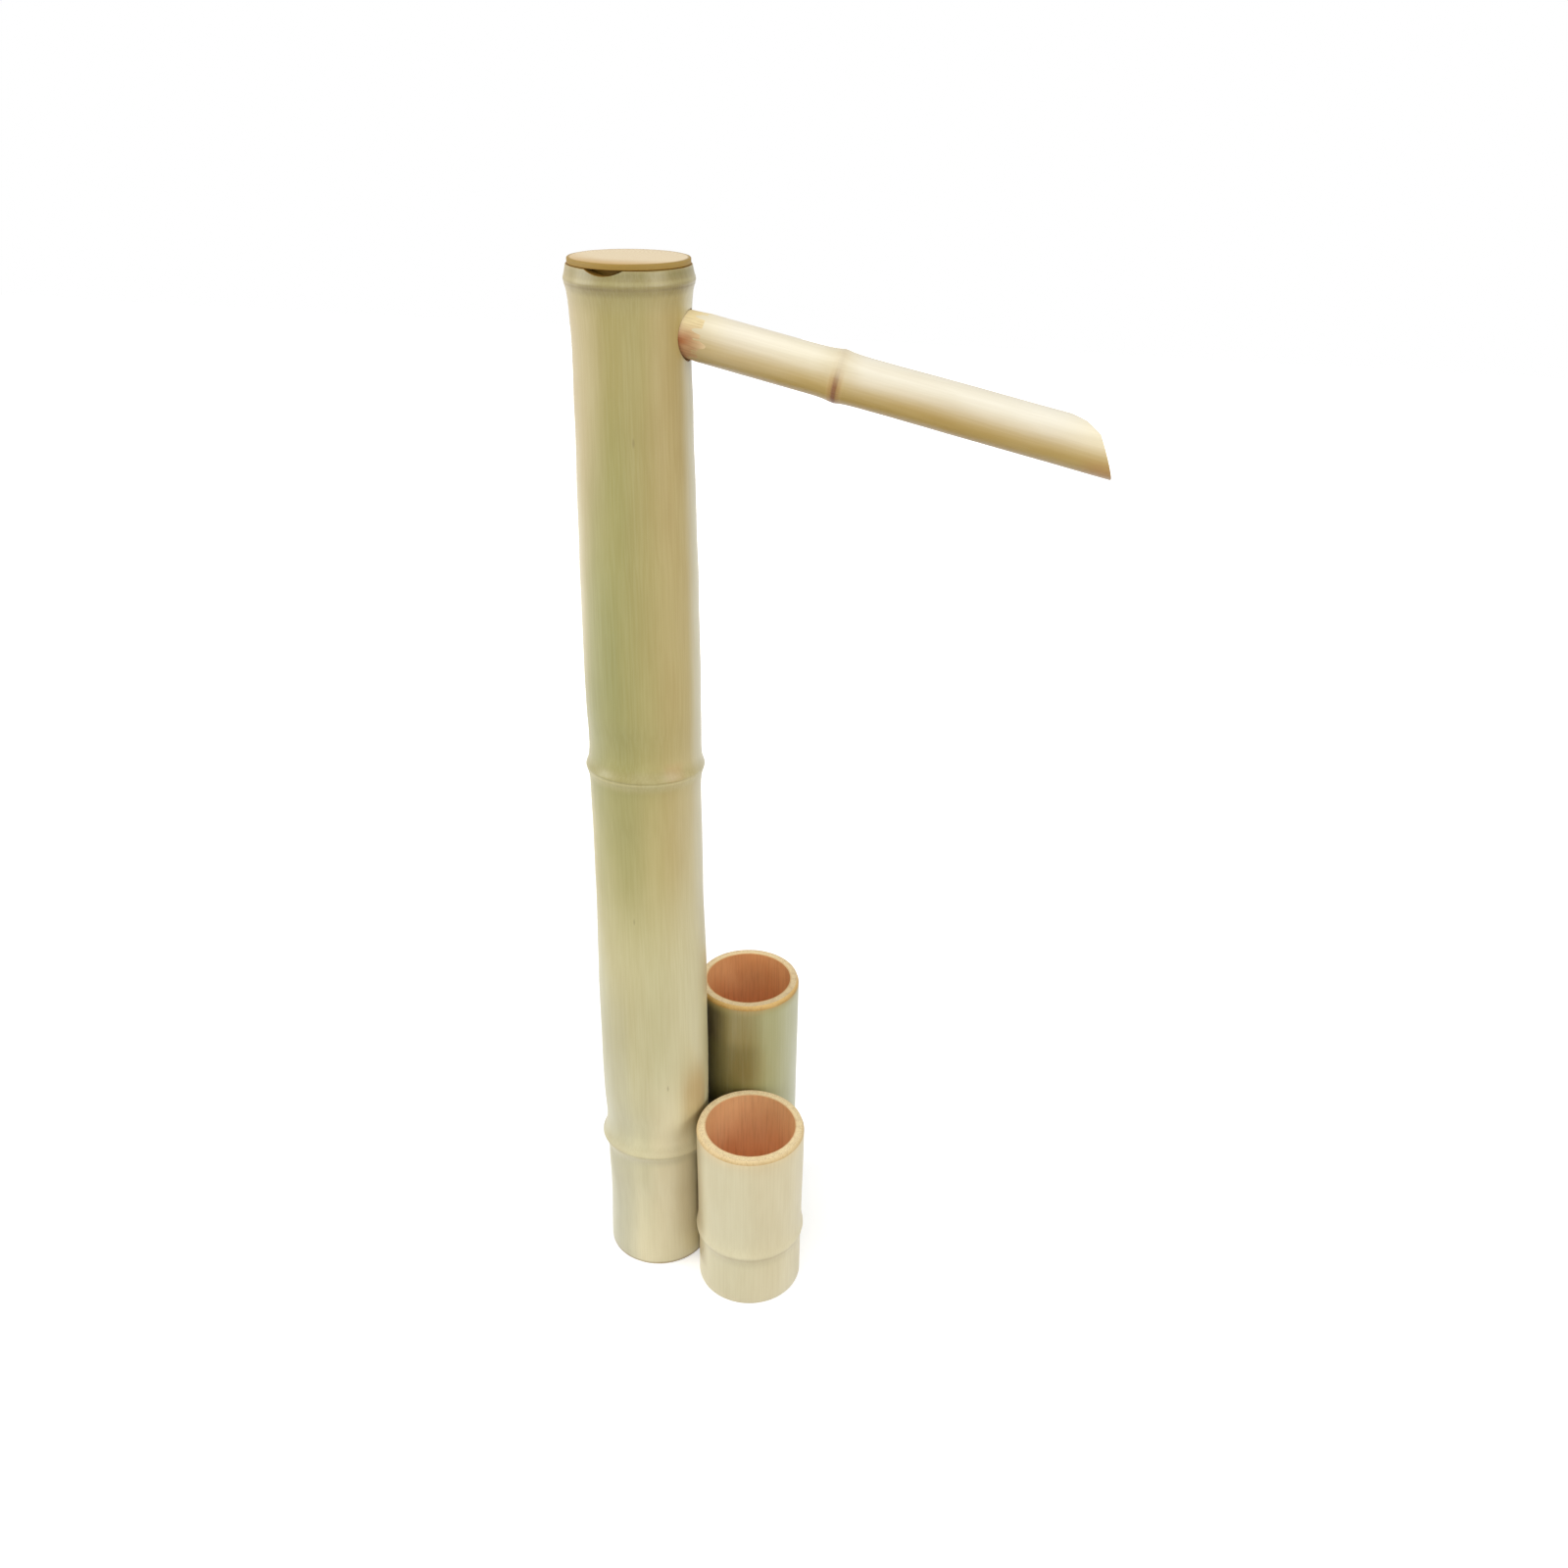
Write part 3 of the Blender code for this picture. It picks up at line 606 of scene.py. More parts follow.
spout_joint = next(joint for joint in frame["joints"] if joint["name"] == "spout_twist")
spout_root = Vector(spout_joint["pos_m"])
spout_along = Vector(spout_joint["axis"]).normalized()
upward = Vector((0, 0, 1))
post_line = culm_skin_line(POST_STATIONS, POST_NODES, 0.0, POST_TOP)
top_inner = POST_STATIONS[-1][1] - POST_WALL
socket_floor = TOP_NODE + DIAPHRAGM
chamber_roof = socket_floor - 2 * DIAPHRAGM
post_line += [(top_inner + RIM_BEVEL, POST_TOP), (top_inner, POST_TOP - RIM_BEVEL)]
post_line += [(top_inner, socket_floor), (DIAPHRAGM_HOLE, socket_floor), (DIAPHRAGM_HOLE, chamber_roof)]
post_line += fillet(top_inner, chamber_roof, -1)[::-1]
for level in (MIDDLE_NODE, LOWER_NODE):
    post_line += drilled_diaphragm(eased(level, POST_STATIONS) - POST_WALL, level)
post_line += [(POST_STATIONS[0][1] - POST_WALL, 0.0)]
post = draw_and_spin("post_bamboo", post_line, post_foot, upward, CULM_SIDES, closed=True)
for level, lean in ((MIDDLE_NODE, MIDDLE_LEAN), (LOWER_NODE, LOWER_LEAN)):
    lean_node(post, post_foot + upward * level, lean)
weather(post, swell=0.0006)
mortise_start = spout_root + spout_along * MORTISE_FROM - upward * MORTISE_DROP
drill(post, MORTISE_RADIUS, mortise_start, spout_along, MORTISE_DEPTH, sides=96)
hose_hole_start = post_foot + Vector((0, HOSE_HOLE_FROM, HOSE_HOLE_HEIGHT))
drill(post, HOSE_HOLE_RADIUS, hose_hole_start, (0, 1, 0), HOSE_HOLE_DEPTH)
for screw in SCREW_CUPS:
    height, _, towards = screw_place(screw)
    pilot_start = post_foot - towards * POST_PILOT_FROM + upward * height
    drill(post, PILOT_RADIUS, pilot_start, towards, POST_PILOT_DEPTH, PILOT_SIDES)
dip_radius = (DIP_WIDTH ** 2 / 4 + DIP_DEPTH ** 2) / (2 * DIP_DEPTH)
dip_aim = Vector((math.cos(DIP_DIRECTION), math.sin(DIP_DIRECTION), 0))
dip_start = post_foot + dip_aim * DIP_FROM + upward * (POST_TOP + dip_radius - DIP_DEPTH)
drill(post, dip_radius, dip_start, dip_aim, DIP_LENGTH, sides=128)
post_skin = bamboo_skin(
    "post_skin", post_foot, upward, POST_TOP,
    bands=(
        (0.00, (236, 224, 182)), (0.08, (227, 217, 176)), (0.13, (214, 206, 166)),
        (0.17, (211, 203, 161)), (0.30, (203, 195, 148)), (0.52, (191, 178, 118)),
        (0.60, (170, 158, 94)), (1.00, (165, 151, 88))),
    tints=(
        (-110, 44, (150, 147, 82, 0.70), 0.27, 0.72),
        (-25, 46, (180, 154, 94, 0.55), 0.27, 0.90),
        (-25, 46, (216, 206, 166, 0.40), 0.10, 0.38),
        # Painted reflection: the upper left edge lighter and paler, where the waxy skin would mirror
        # white surroundings
        (-162, 48, (200, 185, 142, 0.85), 0.46, 0.90),
        # Painted shade: the left of the foot darker and greyer
        (-165, 76, (196, 193, 162, 0.90), -0.10, 0.125),
        (-150, 40, (146, 144, 92, 0.50), 0.38, 0.52),
        # Painted shade: the lower left side darker and greyer, in this tint and the next
        (-162, 44, (188, 184, 152, 0.55), 0.03, 0.34),
        (-122, 26, (184, 180, 148, 0.42), -0.15, 0.30),
        # Painted light: the front of the foot lighter, against the shade under the lower ring and beside
        # the short cup
        (-54, 36, (248, 235, 196, 0.70), -0.02, 0.20),
        # Painted shadow: the dark brown seam where the short cup stands against the post
        (-16, 11, (104, 64, 10, 0.75), -0.05, 0.19),
        # Painted reflection: the upper left side lighter
        (-140, 46, (198, 178, 130, 0.50), 0.56, 0.95),
        # Painted reflection: the right edge lighter and paler, in this tint and the next, where the waxy
        # skin would mirror white surroundings
        (8, 32, (204, 200, 172, 0.70), 0.25, 0.90),
        (0, 54, (204, 194, 154, 0.50), 0.24, 0.48),
        # Painted shade and warm light bounced from the short cup: a golden patch on the foot beside it
        (-26, 24, (188, 162, 104, 0.80), 0.112, 0.200),
        (-116, 28, (140, 140, 76, 0.55), 0.430, 0.600),
        (-43, 14, (186, 144, 86, 0.50), 0.421, 0.444)),
    marks=(
        # The pale band under the two lower rings is the culm's bloom, made paler as painted light against
        # the shade under each ring
        (LOWER_NODE, 0.060, LOWER_LEAN, -130, 0.8, (
            (0.30, (214, 206, 168, 0.0)), (0.42, (222, 213, 174, 0.6)), (0.47, (226, 216, 176, 0.8)),
            (0.50, (196, 184, 140, 0.6)), (0.56, (190, 180, 138, 0.5)), (0.70, (196, 188, 146, 0.0)))),
        (MIDDLE_NODE, 0.060, MIDDLE_LEAN, -100, 0.8, (
            (0.34, (184, 172, 118, 0.0)), (0.44, (190, 180, 128, 0.6)), (0.475, (198, 188, 136, 0.8)),
            (0.505, (164, 152, 98, 0.6)), (0.56, (158, 146, 90, 0.5)), (0.68, (160, 148, 92, 0.0)))),
        # Under the top ring the scar's browner line is deepened as painted shade in its groove
        (TOP_NODE, 0.060, 0.0, -60, 0.4, (
            (0.20, (160, 148, 98, 0.0)), (0.38, (152, 140, 88, 0.4)), (0.45, (134, 120, 70, 0.8)),
            (0.475, (120, 104, 56, 0.95)), (0.50, (138, 124, 72, 0.9)), (0.53, (152, 141, 90, 0.8)),
            (0.565, (132, 119, 66, 0.9)), (0.60, (125, 114, 58, 0.95)), (0.645, (138, 125, 72, 0.9)))),
        (0.0, 0.010, 0.0, -100, 0.7, (
            (0.0, (146, 112, 60, 0.9)), (0.58, (152, 120, 68, 0.8)), (0.80, (196, 180, 134, 0.0))))),
    blur=0.15)
post_cut = bamboo_end_grain(
    "post_end_grain", post_foot, upward, *POST_END, pale=(226, 202, 150), rind=(176, 138, 74))
post_lining = bamboo_inside(
    "post_lining", post_foot, upward, light=(184, 128, 84), dark=(150, 96, 60), rim=POST_TOP)
# Painted shade: the rim and socket under the lid get a darker ochre end grain
rim_painted_shade = bamboo_end_grain(
    "post_rim_painted_shade", post_foot, upward, *POST_END, pale=(163, 124, 34), rind=(140, 104, 24))
finish_surfaces(post, (post_skin, post_cut, post_lining, rim_painted_shade), post_surface)
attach(post, "post")
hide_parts("post_culm")

# Hose inlet: a black plastic barbed fitting, moulded in one. Its tail fills the hole at the back of
# the post's foot, its flange is hollowed to sit on the round culm, and the pump's hose is pushed on
# to its barbs from behind.
INLET_BORE = 0.0022
INLET_TAIL = (0.0285, 0.0032)
INLET_FLANGE = (0.0359, 0.0395, 0.0090)
INLET_STEM = 0.0035
INLET_END = 0.0560
INLET_EASE = 0.0004
INLET_ROUND = 0.0008
BARB_COUNT = 3
BARB_RADIUS = 0.0044
BARB_CLEARANCE = 0.002
BARB_TIP = 0.0003
# A barb's heel: how far inside the barb's radius, and how far towards its tip
BARB_HEEL = ((0.0001, 0.0008), (0.0, 0.0004), (0.0002, 0.0001))
HOSE_BOSS = 0.0050
SEAT_RADIUS = 0.0384
SEAT_DEPTH = 0.03


def moulded_plastic(name, colour, grain):
    """Fine spark-eroded moulding texture with a slightly uneven sheen."""
    finish = new_finish(name)
    where = object_place(finish)
    speckle = mottle(finish, where, 1.0, grain, 3.0, 0.6)
    handled = mottle(finish, where, 1.0, 60.0, 3.0, 0.6)
    worn = (*(value * 1.9 for value in paint(*colour)[:3]), 1.0)
    sheen = between(finish, handled, 0.2, 0.8, 0.34, 0.56)
    return dress(finish, over(finish, handled, paint(*colour), worn), sheen, speckle, 0.3, 0.0001)


tail_end, tail_radius = INLET_TAIL
flange_in, flange_out, flange_radius = INLET_FLANGE
barb_length = (INLET_END - flange_out - BARB_CLEARANCE) / BARB_COUNT
inlet_line = [(INLET_BORE, INLET_END), (INLET_STEM - INLET_EASE, INLET_END)]
for barb in range(BARB_COUNT):
    tip = INLET_END - barb * barb_length
    heel = tip - barb_length
    inlet_line += [(INLET_STEM, tip - BARB_TIP)]
    inlet_line += [(BARB_RADIUS - inset, heel + rise) for inset, rise in BARB_HEEL]
    inlet_line += [(INLET_STEM, heel)]
inlet_line += [(INLET_STEM, flange_out + INLET_EASE), (INLET_STEM + INLET_EASE, flange_out)]
inlet_line += rounded_edge(flange_radius, flange_out, INLET_ROUND, -1)
inlet_line += [(flange_radius, flange_in), (tail_radius, flange_in)]
inlet_line += [(tail_radius, tail_end + INLET_EASE), (tail_radius - INLET_EASE, tail_end)]
inlet_line += [(INLET_BORE, tail_end)]
inlet_axis = post_foot + upward * HOSE_HOLE_HEIGHT
backward = Vector((0, 1, 0))
inlet = draw_and_spin("hose_inlet_fitting", inlet_line, inlet_axis, backward, sides=64, closed=True)
clear_selection()
bpy.ops.mesh.primitive_cylinder_add(
    vertices=256, radius=SEAT_RADIUS, depth=SEAT_DEPTH, location=inlet_axis)
saddle = bpy.context.object
drill(saddle, HOSE_BOSS, inlet_axis + backward * HOSE_HOLE_FROM, backward, HOSE_HOLE_DEPTH)
cut_away(inlet, saddle)
finish_surfaces(inlet, (moulded_plastic("inlet_black", (34, 34, 35), grain=1400.0),))
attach(inlet, "post")
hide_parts("hose_inlet")

# Water hose: soft clear vinyl, 10 mm across with a 1.2 mm wall, pushed on from the inlet's tail up
# through the drilled diaphragms and bent over in the top chamber into the spout's bush.
HOSE_RADIUS = 0.0050
HOSE_WALL = 0.0012
HOSE_BACK = (
    (0.0356, 0.0500), (0.0310, 0.0500), (0.0265, 0.0503), (0.0140, 0.0538), (0.0040, 0.0640),
    (0.0, 0.0780))
HOSE_RISE = (
    (0.0, 0.106), (0.0, 0.200), (0.0015, 0.320), (0.0, 0.425), (-0.0060, 0.500), (-0.0145, 0.590),
    (-0.0195, 0.655), (-0.0200, 0.683), (-0.0170, 0.696), (-0.0085, 0.7063), (0.0038, 0.7120))
HOSE_IN_SPOUT = (0.0185, 0.0260, 0.0400, 0.0560)


def smooth_route(route, steps):
    """A smooth curve through the route's own points, with some steps between each two."""
    ends = [2 * route[0] - route[1]] + route + [2 * route[-1] - route[-2]]
    points = []
    for before, start, stop, after in zip(ends, ends[1:], ends[2:], ends[3:]):
        for step in range(steps):
            t = step / steps
            points.append((
                2 * start + (stop - before) * t + (2 * before - 5 * start + 4 * stop - after) * t ** 2
                + (3 * start - before - 3 * stop + after) * t ** 3) / 2)
    return points + [route[-1]]


def hose_tube(name, points, radius, wall, sides):
    """A tube drawn as a curve, made a mesh, and given its wall; sides are those of a quarter of it."""
    clear_selection()
    curve = bpy.data.curves.new(name, 'CURVE')
    curve.dimensions = '3D'
    curve.bevel_depth = radius
    curve.bevel_resolution = sides
    spline = curve.splines.new('POLY')
    spline.points.add(len(points) - 1)
    for knot, point in zip(spline.points, points):
        knot.co = (*point, 1.0)
    tube = bpy.data.objects.new(name, curve)
    bpy.context.scene.collection.objects.link(tube)
    take_up(tube)
    bpy.ops.object.convert(target='MESH')
    tube = bpy.context.object
    bpy.ops.object.mode_set(mode='EDIT')
    close_skin()
    use_modifier(tube, 'SOLIDIFY', thickness=wall, offset=-1.0)
    return tube


def clear_vinyl(name):
    """Slightly milky clear plastic with drawn lines and a film of scale."""
    finish = new_finish(name)
    film = mottle(finish, object_place(finish), 0.2, 120.0, 3.0, 0.6)
    colour = over(finish, film, paint(222, 228, 220), paint(196, 202, 184))
    clear = {"Transmission Weight": 0.55, "IOR": 1.5}
    return dress(finish, colour, between(finish, film, 0.3, 0.8, 0.16, 0.34), film, 0.2, 0.0001, clear)


hose_route = [post_foot + Vector((0, out, height)) for out, height in HOSE_BACK]
hose_route += [post_foot + Vector((aside, 0, height)) for aside, height in HOSE_RISE]
hose_route += [spout_root + spout_along * station for station in HOSE_IN_SPOUT]
hose_points = smooth_route(hose_route, steps=8)
hose = hose_tube("water_hose_vinyl", hose_points, HOSE_RADIUS, HOSE_WALL, sides=6)
finish_surfaces(hose, (clear_vinyl("hose_vinyl"),))
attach(hose, "post")
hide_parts("water_hose")

# Spout: a thinner, paler culm with one node, its diaphragm drilled out for the water. Its root is
# whittled with a knife to enter the mortise. Its mouth is sawn off on the slant, so that the water
# leaves the long lower lip, and its upper corner is pared round.
SPOUT_FROM = 0.0215
SPOUT_TO = 0.2924
SPOUT_NODE = 0.1267
SPOUT_RISE = 0.0012
SPOUT_WALL = 0.0029
SPOUT_BORE_IN = 0.0102
SPOUT_BORE_EASE = 0.0002
SPOUT_SHOULDER = 0.0470
SPOUT_NARROWS = 0.215
SPOUT_MOUTH = 0.2
SPOUT_LIP_RADIUS = 0.0149
SPOUT_TURN = math.radians(18.0)
# The mouth's cuts: how far from the axis towards the lip each starts, as a share of the radius, and
# its slope to the axis
MOUTH_CUTS = ((1.0, math.radians(57.0)), (-0.45, math.radians(31.0)), (-0.82, math.radians(14.0)))
SPOUT_STATIONS = (
    (SPOUT_FROM, 0.0134), (0.0360, 0.0135), (SPOUT_SHOULDER, 0.0141), (0.118, 0.0142), (0.136, 0.0144),
    (SPOUT_NARROWS, 0.0147), (SPOUT_TO, SPOUT_LIP_RADIUS))
WHITTLE_CUTS = 12
WHITTLE_FROM = 0.0425
WHITTLE_RADIUS = 0.0138
WHITTLE_END_RADIUS = 0.0127
# How unevenly the knife's cuts are spaced round the root, and how far apart they start
WHITTLE_SPREAD = 0.25
WHITTLE_STAGGER = 0.0016
WHITTLE_MARGIN = 0.001
# A sawn face lies square to its cut, and skin faces at least this much outwards
SAWN_FACING = 0.985
SPOUT_SKIN_FACING = 0.3


def slice_off(piece, point, outward):
    """Saw or whittle off all that lies beyond a plane, and close the cut."""
    take_up(piece)
    bpy.ops.object.mode_set(mode='EDIT')
    bpy.ops.mesh.select_all(action='SELECT')
    bpy.ops.mesh.bisect(
        plane_co=point, plane_no=outward, use_fill=True, clear_outer=True, threshold=0.000001)
    bpy.ops.object.mode_set(mode='OBJECT')


def whittled_wood(name, foot, along, pale, brown, soaked_to, dry_from, low_side=None):
    """Fresh cut fibres under the skin, browner where they drank water, up to a station along and
    most on the low side, if one is given, where the brown is painted shade as well as soak."""
    finish = new_finish(name)
    place = own_place(finish, foot, along)
    x, y, z = add(finish, "SeparateXYZ", {0: place}).outputs
    fibres = mottle(finish, place, 0.03, 900.0, 4.0, 0.65)
    cloud = mottle(finish, place, 0.5, 90.0, 2.0, 0.5)
    patchy = between(finish, cloud, 0.2, 0.7, 0.5, 1.0)
    soak_and_shade = product(finish, between(finish, z, dry_from, soaked_to), patchy)
    # On the low side the brown is painted shade as well as soak
    if low_side:
        aim, reach = low_side
        sideways = aimed(finish, x, y, math.cos(aim), math.sin(aim))
        soak_and_shade = product(finish, soak_and_shade, between(finish, sideways, -0.1 * reach, 0.9 * reach))
    colour = over(finish, soak_and_shade, paint(*pale), paint(*brown))
    colour = wash(finish, colour, fibres, 0.4, 0.75, 0.3, (160, 120, 76))
    return dress(finish, colour, 0.66, fibres, 0.5, 0.0002)


spout_nodes = ((SPOUT_NODE, SPOUT_RISE),)
spout_line = culm_skin_line(SPOUT_STATIONS, spout_nodes, SPOUT_FROM, SPOUT_TO, spacing=0.004)
bore = SPOUT_LIP_RADIUS - SPOUT_WALL
narrow = SPOUT_STATIONS[3][1] - SPOUT_WALL
drilled = SPOUT_BORE_IN + SPOUT_BORE_EASE
spout_line += [(bore, SPOUT_TO), (bore, SPOUT_NARROWS), (narrow, SPOUT_NODE + FILLET)]
spout_line += [(drilled, SPOUT_NODE + DIAPHRAGM), (SPOUT_BORE_IN, SPOUT_NODE)]
spout_line += [(drilled, SPOUT_NODE - DIAPHRAGM), (narrow, SPOUT_NODE - FILLET)]
spout_line += [(narrow, SPOUT_SHOULDER + FILLET)]
spout_line += [(SPOUT_BORE_IN, SPOUT_SHOULDER), (SPOUT_BORE_IN, SPOUT_FROM)]
spout = draw_and_spin("spout_bamboo", spout_line, spout_root, spout_along, sides=112, closed=True)
weather(spout, swell=0.0003, grain=0.03)
beside = Vector((0, 1, 0)).cross(spout_along).normalized()
lip_side = beside * math.cos(SPOUT_TURN) + Vector((0, -1, 0)) * math.sin(SPOUT_TURN)
mouth_sides = []
height, slope = MOUTH_CUTS[0]
station = SPOUT_TO
for next_height, next_slope in MOUTH_CUTS:
    station -= (height - next_height) * SPOUT_LIP_RADIUS / math.tan(slope)
    height, slope = next_height, next_slope
    cut_outward = spout_along * math.sin(slope) - lip_side * math.cos(slope)
    saw_at = spout_root + lip_side * height * SPOUT_LIP_RADIUS + spout_along * station
    slice_off(spout, saw_at, cut_outward)
    mouth_sides.append(cut_outward)
whittle_slope = (WHITTLE_RADIUS - WHITTLE_END_RADIUS) / (WHITTLE_FROM - SPOUT_FROM)
for cut in range(WHITTLE_CUTS):
    turn = math.tau * (cut + WHITTLE_SPREAD * math.sin(5 * cut)) / WHITTLE_CUTS
    outward = beside * math.cos(turn) + spout_along.cross(beside) * math.sin(turn)
    start = WHITTLE_FROM + WHITTLE_STAGGER * math.sin(2.3 * cut)
    knife_at = spout_root + outward * WHITTLE_RADIUS + spout_along * start
    slice_off(spout, knife_at, outward - spout_along * whittle_slope)


def spout_surface(centre, normal):
    """0 skin, 1 sawn mouth, 2 bore, 3 whittled root."""
    station, _, facing = place_on_culm(centre, normal, spout_root, spout_along)
    if station > SPOUT_MOUTH and any(normal.dot(side) > SAWN_FACING for side in mouth_sides):
        return 1
    if facing < SPOUT_SKIN_FACING:
        return 2
    return 3 if station < WHITTLE_FROM + WHITTLE_MARGIN else 0


spout_skin = bamboo_skin(
    "spout_skin", spout_root, spout_along, SPOUT_TO,
    bands=(
        (0.15, (228, 217, 186)), (0.22, (228, 219, 196)), (0.37, (225, 216, 190)),
        (0.43, (216, 204, 172)), (0.49, (227, 220, 200)), (0.85, (230, 224, 206)),
        (1.0, (228, 216, 182))),
    tints=(
        # Painted shade: the underside darker and browner along the whole spout, and more orange under the
        # mouth
        (-34, 101, (183, 151, 68, 1.0), 0.02, 0.33),
        (10, 60, (170, 138, 82, 0.8), 0.02, 0.33),
        (-30, 60, (186, 130, 70, 0.6), 0.268, 0.33)),
    marks=((SPOUT_NODE, 0.030, 0.0, -30, 0.12, (
        (0.34, (216, 186, 128, 0.0)), (0.43, (176, 128, 62, 0.6)), (0.50, (124, 66, 0, 1.0)),
        (0.54, (124, 66, 0, 1.0)), (0.60, (168, 120, 56, 0.6)), (0.70, (216, 188, 132, 0.0)))),),
    seed=3.0)
spout_cut = bamboo_end_grain(
    "spout_end_grain", spout_root, spout_along, bore, SPOUT_LIP_RADIUS,
    pale=(238, 222, 184), rind=(196, 148, 84))
spout_lining = bamboo_inside(
    "spout_lining", spout_root, spout_along, light=(196, 156, 104), dark=(150, 112, 66), rim=SPOUT_TO)
# The root's brown on its low side is painted shade as well as soak
spout_whittled = whittled_wood(
    "spout_whittled", spout_root, spout_along, pale=(235, 216, 166), brown=(170, 86, 14),
    soaked_to=0.034, dry_from=0.056, low_side=(math.radians(-40), SPOUT_STATIONS[0][1]))
finish_surfaces(spout, (spout_skin, spout_cut, spout_lining, spout_whittled), spout_surface)
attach(spout, "spout")
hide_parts("spout_arm")

# Hose bush: a black rubber ring pressed on the hose's end. Its sleeve seats in the spout's bored
# root and its flange stops against the root's end, so the spout can turn on it and be pulled off.
BUSH_SLEEVE = 0.0099
BUSH_LENGTH = 0.011
BUSH_ROUND = 0.0008
BUSH_FLANGE_RADIUS = 0.0123
BUSH_FLANGE_LENGTH = 0.0022
BUSH_FLANGE_ROUND = 0.0005
BUSH_BORE = 0.0053
BUSH_GAP = 0.0003


def rubber(name):
    """Dull black rubber with a bloom of dust and fine pits."""
    finish = new_finish(name)
    where = object_place(finish)
    bloom = mottle(finish, where, 1.0, 140.0, 4.0, 0.6)
    pits = mottle(finish, where, 1.0, 2200.0, 2.0, 0.6)
    colour = over(finish, bloom, paint(26, 26, 27), paint(58, 57, 55))
    return dress(finish, colour, between(finish, bloom, 0.2, 0.8, 0.62, 0.84), pits, 0.3, 0.0001)


shoulder = SPOUT_FROM - BUSH_GAP
root_end = shoulder - BUSH_FLANGE_LENGTH
bush_line = rounded_edge(BUSH_SLEEVE, shoulder + BUSH_LENGTH, BUSH_ROUND, -1)
bush_line += [(BUSH_SLEEVE, shoulder)]
bush_line += rounded_edge(BUSH_FLANGE_RADIUS, shoulder, BUSH_FLANGE_ROUND, -1)
bush_line += rounded_edge(BUSH_FLANGE_RADIUS, root_end, BUSH_FLANGE_ROUND, 1)[::-1]
bush_line += [(BUSH_BORE, root_end), (BUSH_BORE, shoulder + BUSH_LENGTH)]
bush = draw_and_spin("hose_bush_rubber", bush_line, spout_root, spout_along, sides=72, closed=True)
finish_surfaces(bush, (rubber("bush_rubber"),))
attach(bush, "bush")
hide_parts("hose_bush")

# Cups: two open lengths of culm, each closed below by its own grown diaphragm. Their rims are sawn,
# then chamfered with a knife, which bares the ochre wood under the skin. They stand against the
# post's foot, and two screws hold each.
CUP_WALL = 0.0070
CUP_RISE = 0.0018
SHORT_NODE = 0.048
TALL_NODE = 0.062
CHAMFER_IN = 0.0011
CHAMFER_DOWN = 0.0028
CHAMFER_EDGE = 0.0003
CHAMFER_SOAK = 0.004
# The softened inner edge of a rim: how far outwards, and how far down
RIM_INSIDE = ((0.0, 0.0008), (0.0003, 0.0002), (0.0008, 0.0))
# A cup's dished floor: shares of the hollow's radius, and how far its two sides dip there
FLOOR_DISH = ((0.4, 0.0008, 0.0004), (0.0, 0.0012, 0.0006))
# What tells a cup's surfaces apart: how near the ends sawn faces lie and how level they are, how far
# the chamfer and the skin turn outwards, how deep the skin's own unevenness goes, and a little play
CUP_ENDS = 0.01
SAWN_LEVEL = 0.8
CHAMFER_FACING = 0.3
CUP_SKIN_FACING = 0.2
CUP_SKIN_DEPTH = 0.002
CUP_PLAY = 0.0002
# The height, the node's height, and the radius at stations up each cup
CUPS = {
    "short_cup": (
        0.144, SHORT_NODE, ((0.000, 0.0394), (0.038, 0.0394), (0.058, 0.0398), (0.144, 0.0404))),
    "tall_cup": (
        0.2205, TALL_NODE, ((0.000, 0.0382), (0.052, 0.0380), (0.074, 0.0384), (0.2205, 0.0388))),
}


def cup_line(height, node, stations):
    """From the diaphragm's middle up the hollow, over the rim, down the skin and under the foot."""
    inner = eased(node, stations) - CUP_WALL
    rim_inner = eased(height, stations) - CUP_WALL
    # The skin ends at the chamfer, so the rounding at its rim is left off
    skin = culm_skin_line(stations, ((node, CUP_RISE),), 0.0, height - CHAMFER_DOWN)[:-3]
    chamfer_top = eased(height, stations) - CHAMFER_IN
    line = [(inner * share, node + DIAPHRAGM - dip) for share, dip, _ in reversed(FLOOR_DISH)]
    line += fillet(inner, node + DIAPHRAGM, 1)[::-1]
    line += [(rim_inner + out, height - drop) for out, drop in RIM_INSIDE]
    line += [(chamfer_top - CHAMFER_EDGE, height), (chamfer_top, height - CHAMFER_EDGE)]
    line += skin[::-1]
    line += [(eased(0.0, stations) - CUP_WALL, 0.0)]
    line += fillet(inner, node - DIAPHRAGM, -1)
    line += [(inner * share, node - DIAPHRAGM - dip) for share, _, dip in FLOOR_DISH]
    return line


def cup_surface(foot, height, node, stations):
    """0 skin, 1 sawn rim and foot, 2 hollow, 3 knife-cut chamfer."""
    def pick(centre, normal):
        station, radius, facing = place_on_culm(centre, normal, foot, upward)
        outer = eased(station, stations)
        at_an_end = not CUP_ENDS < station < height - CUP_ENDS
        if station > height - CHAMFER_DOWN - CUP_PLAY and facing > CHAMFER_FACING:
            return 3
        if at_an_end and abs(normal.z) > SAWN_LEVEL and radius > outer - CUP_WALL - CUP_PLAY:
            return 1
        return 0 if facing > CUP_SKIN_FACING and radius > outer - CUP_SKIN_DEPTH else 2
    return pick


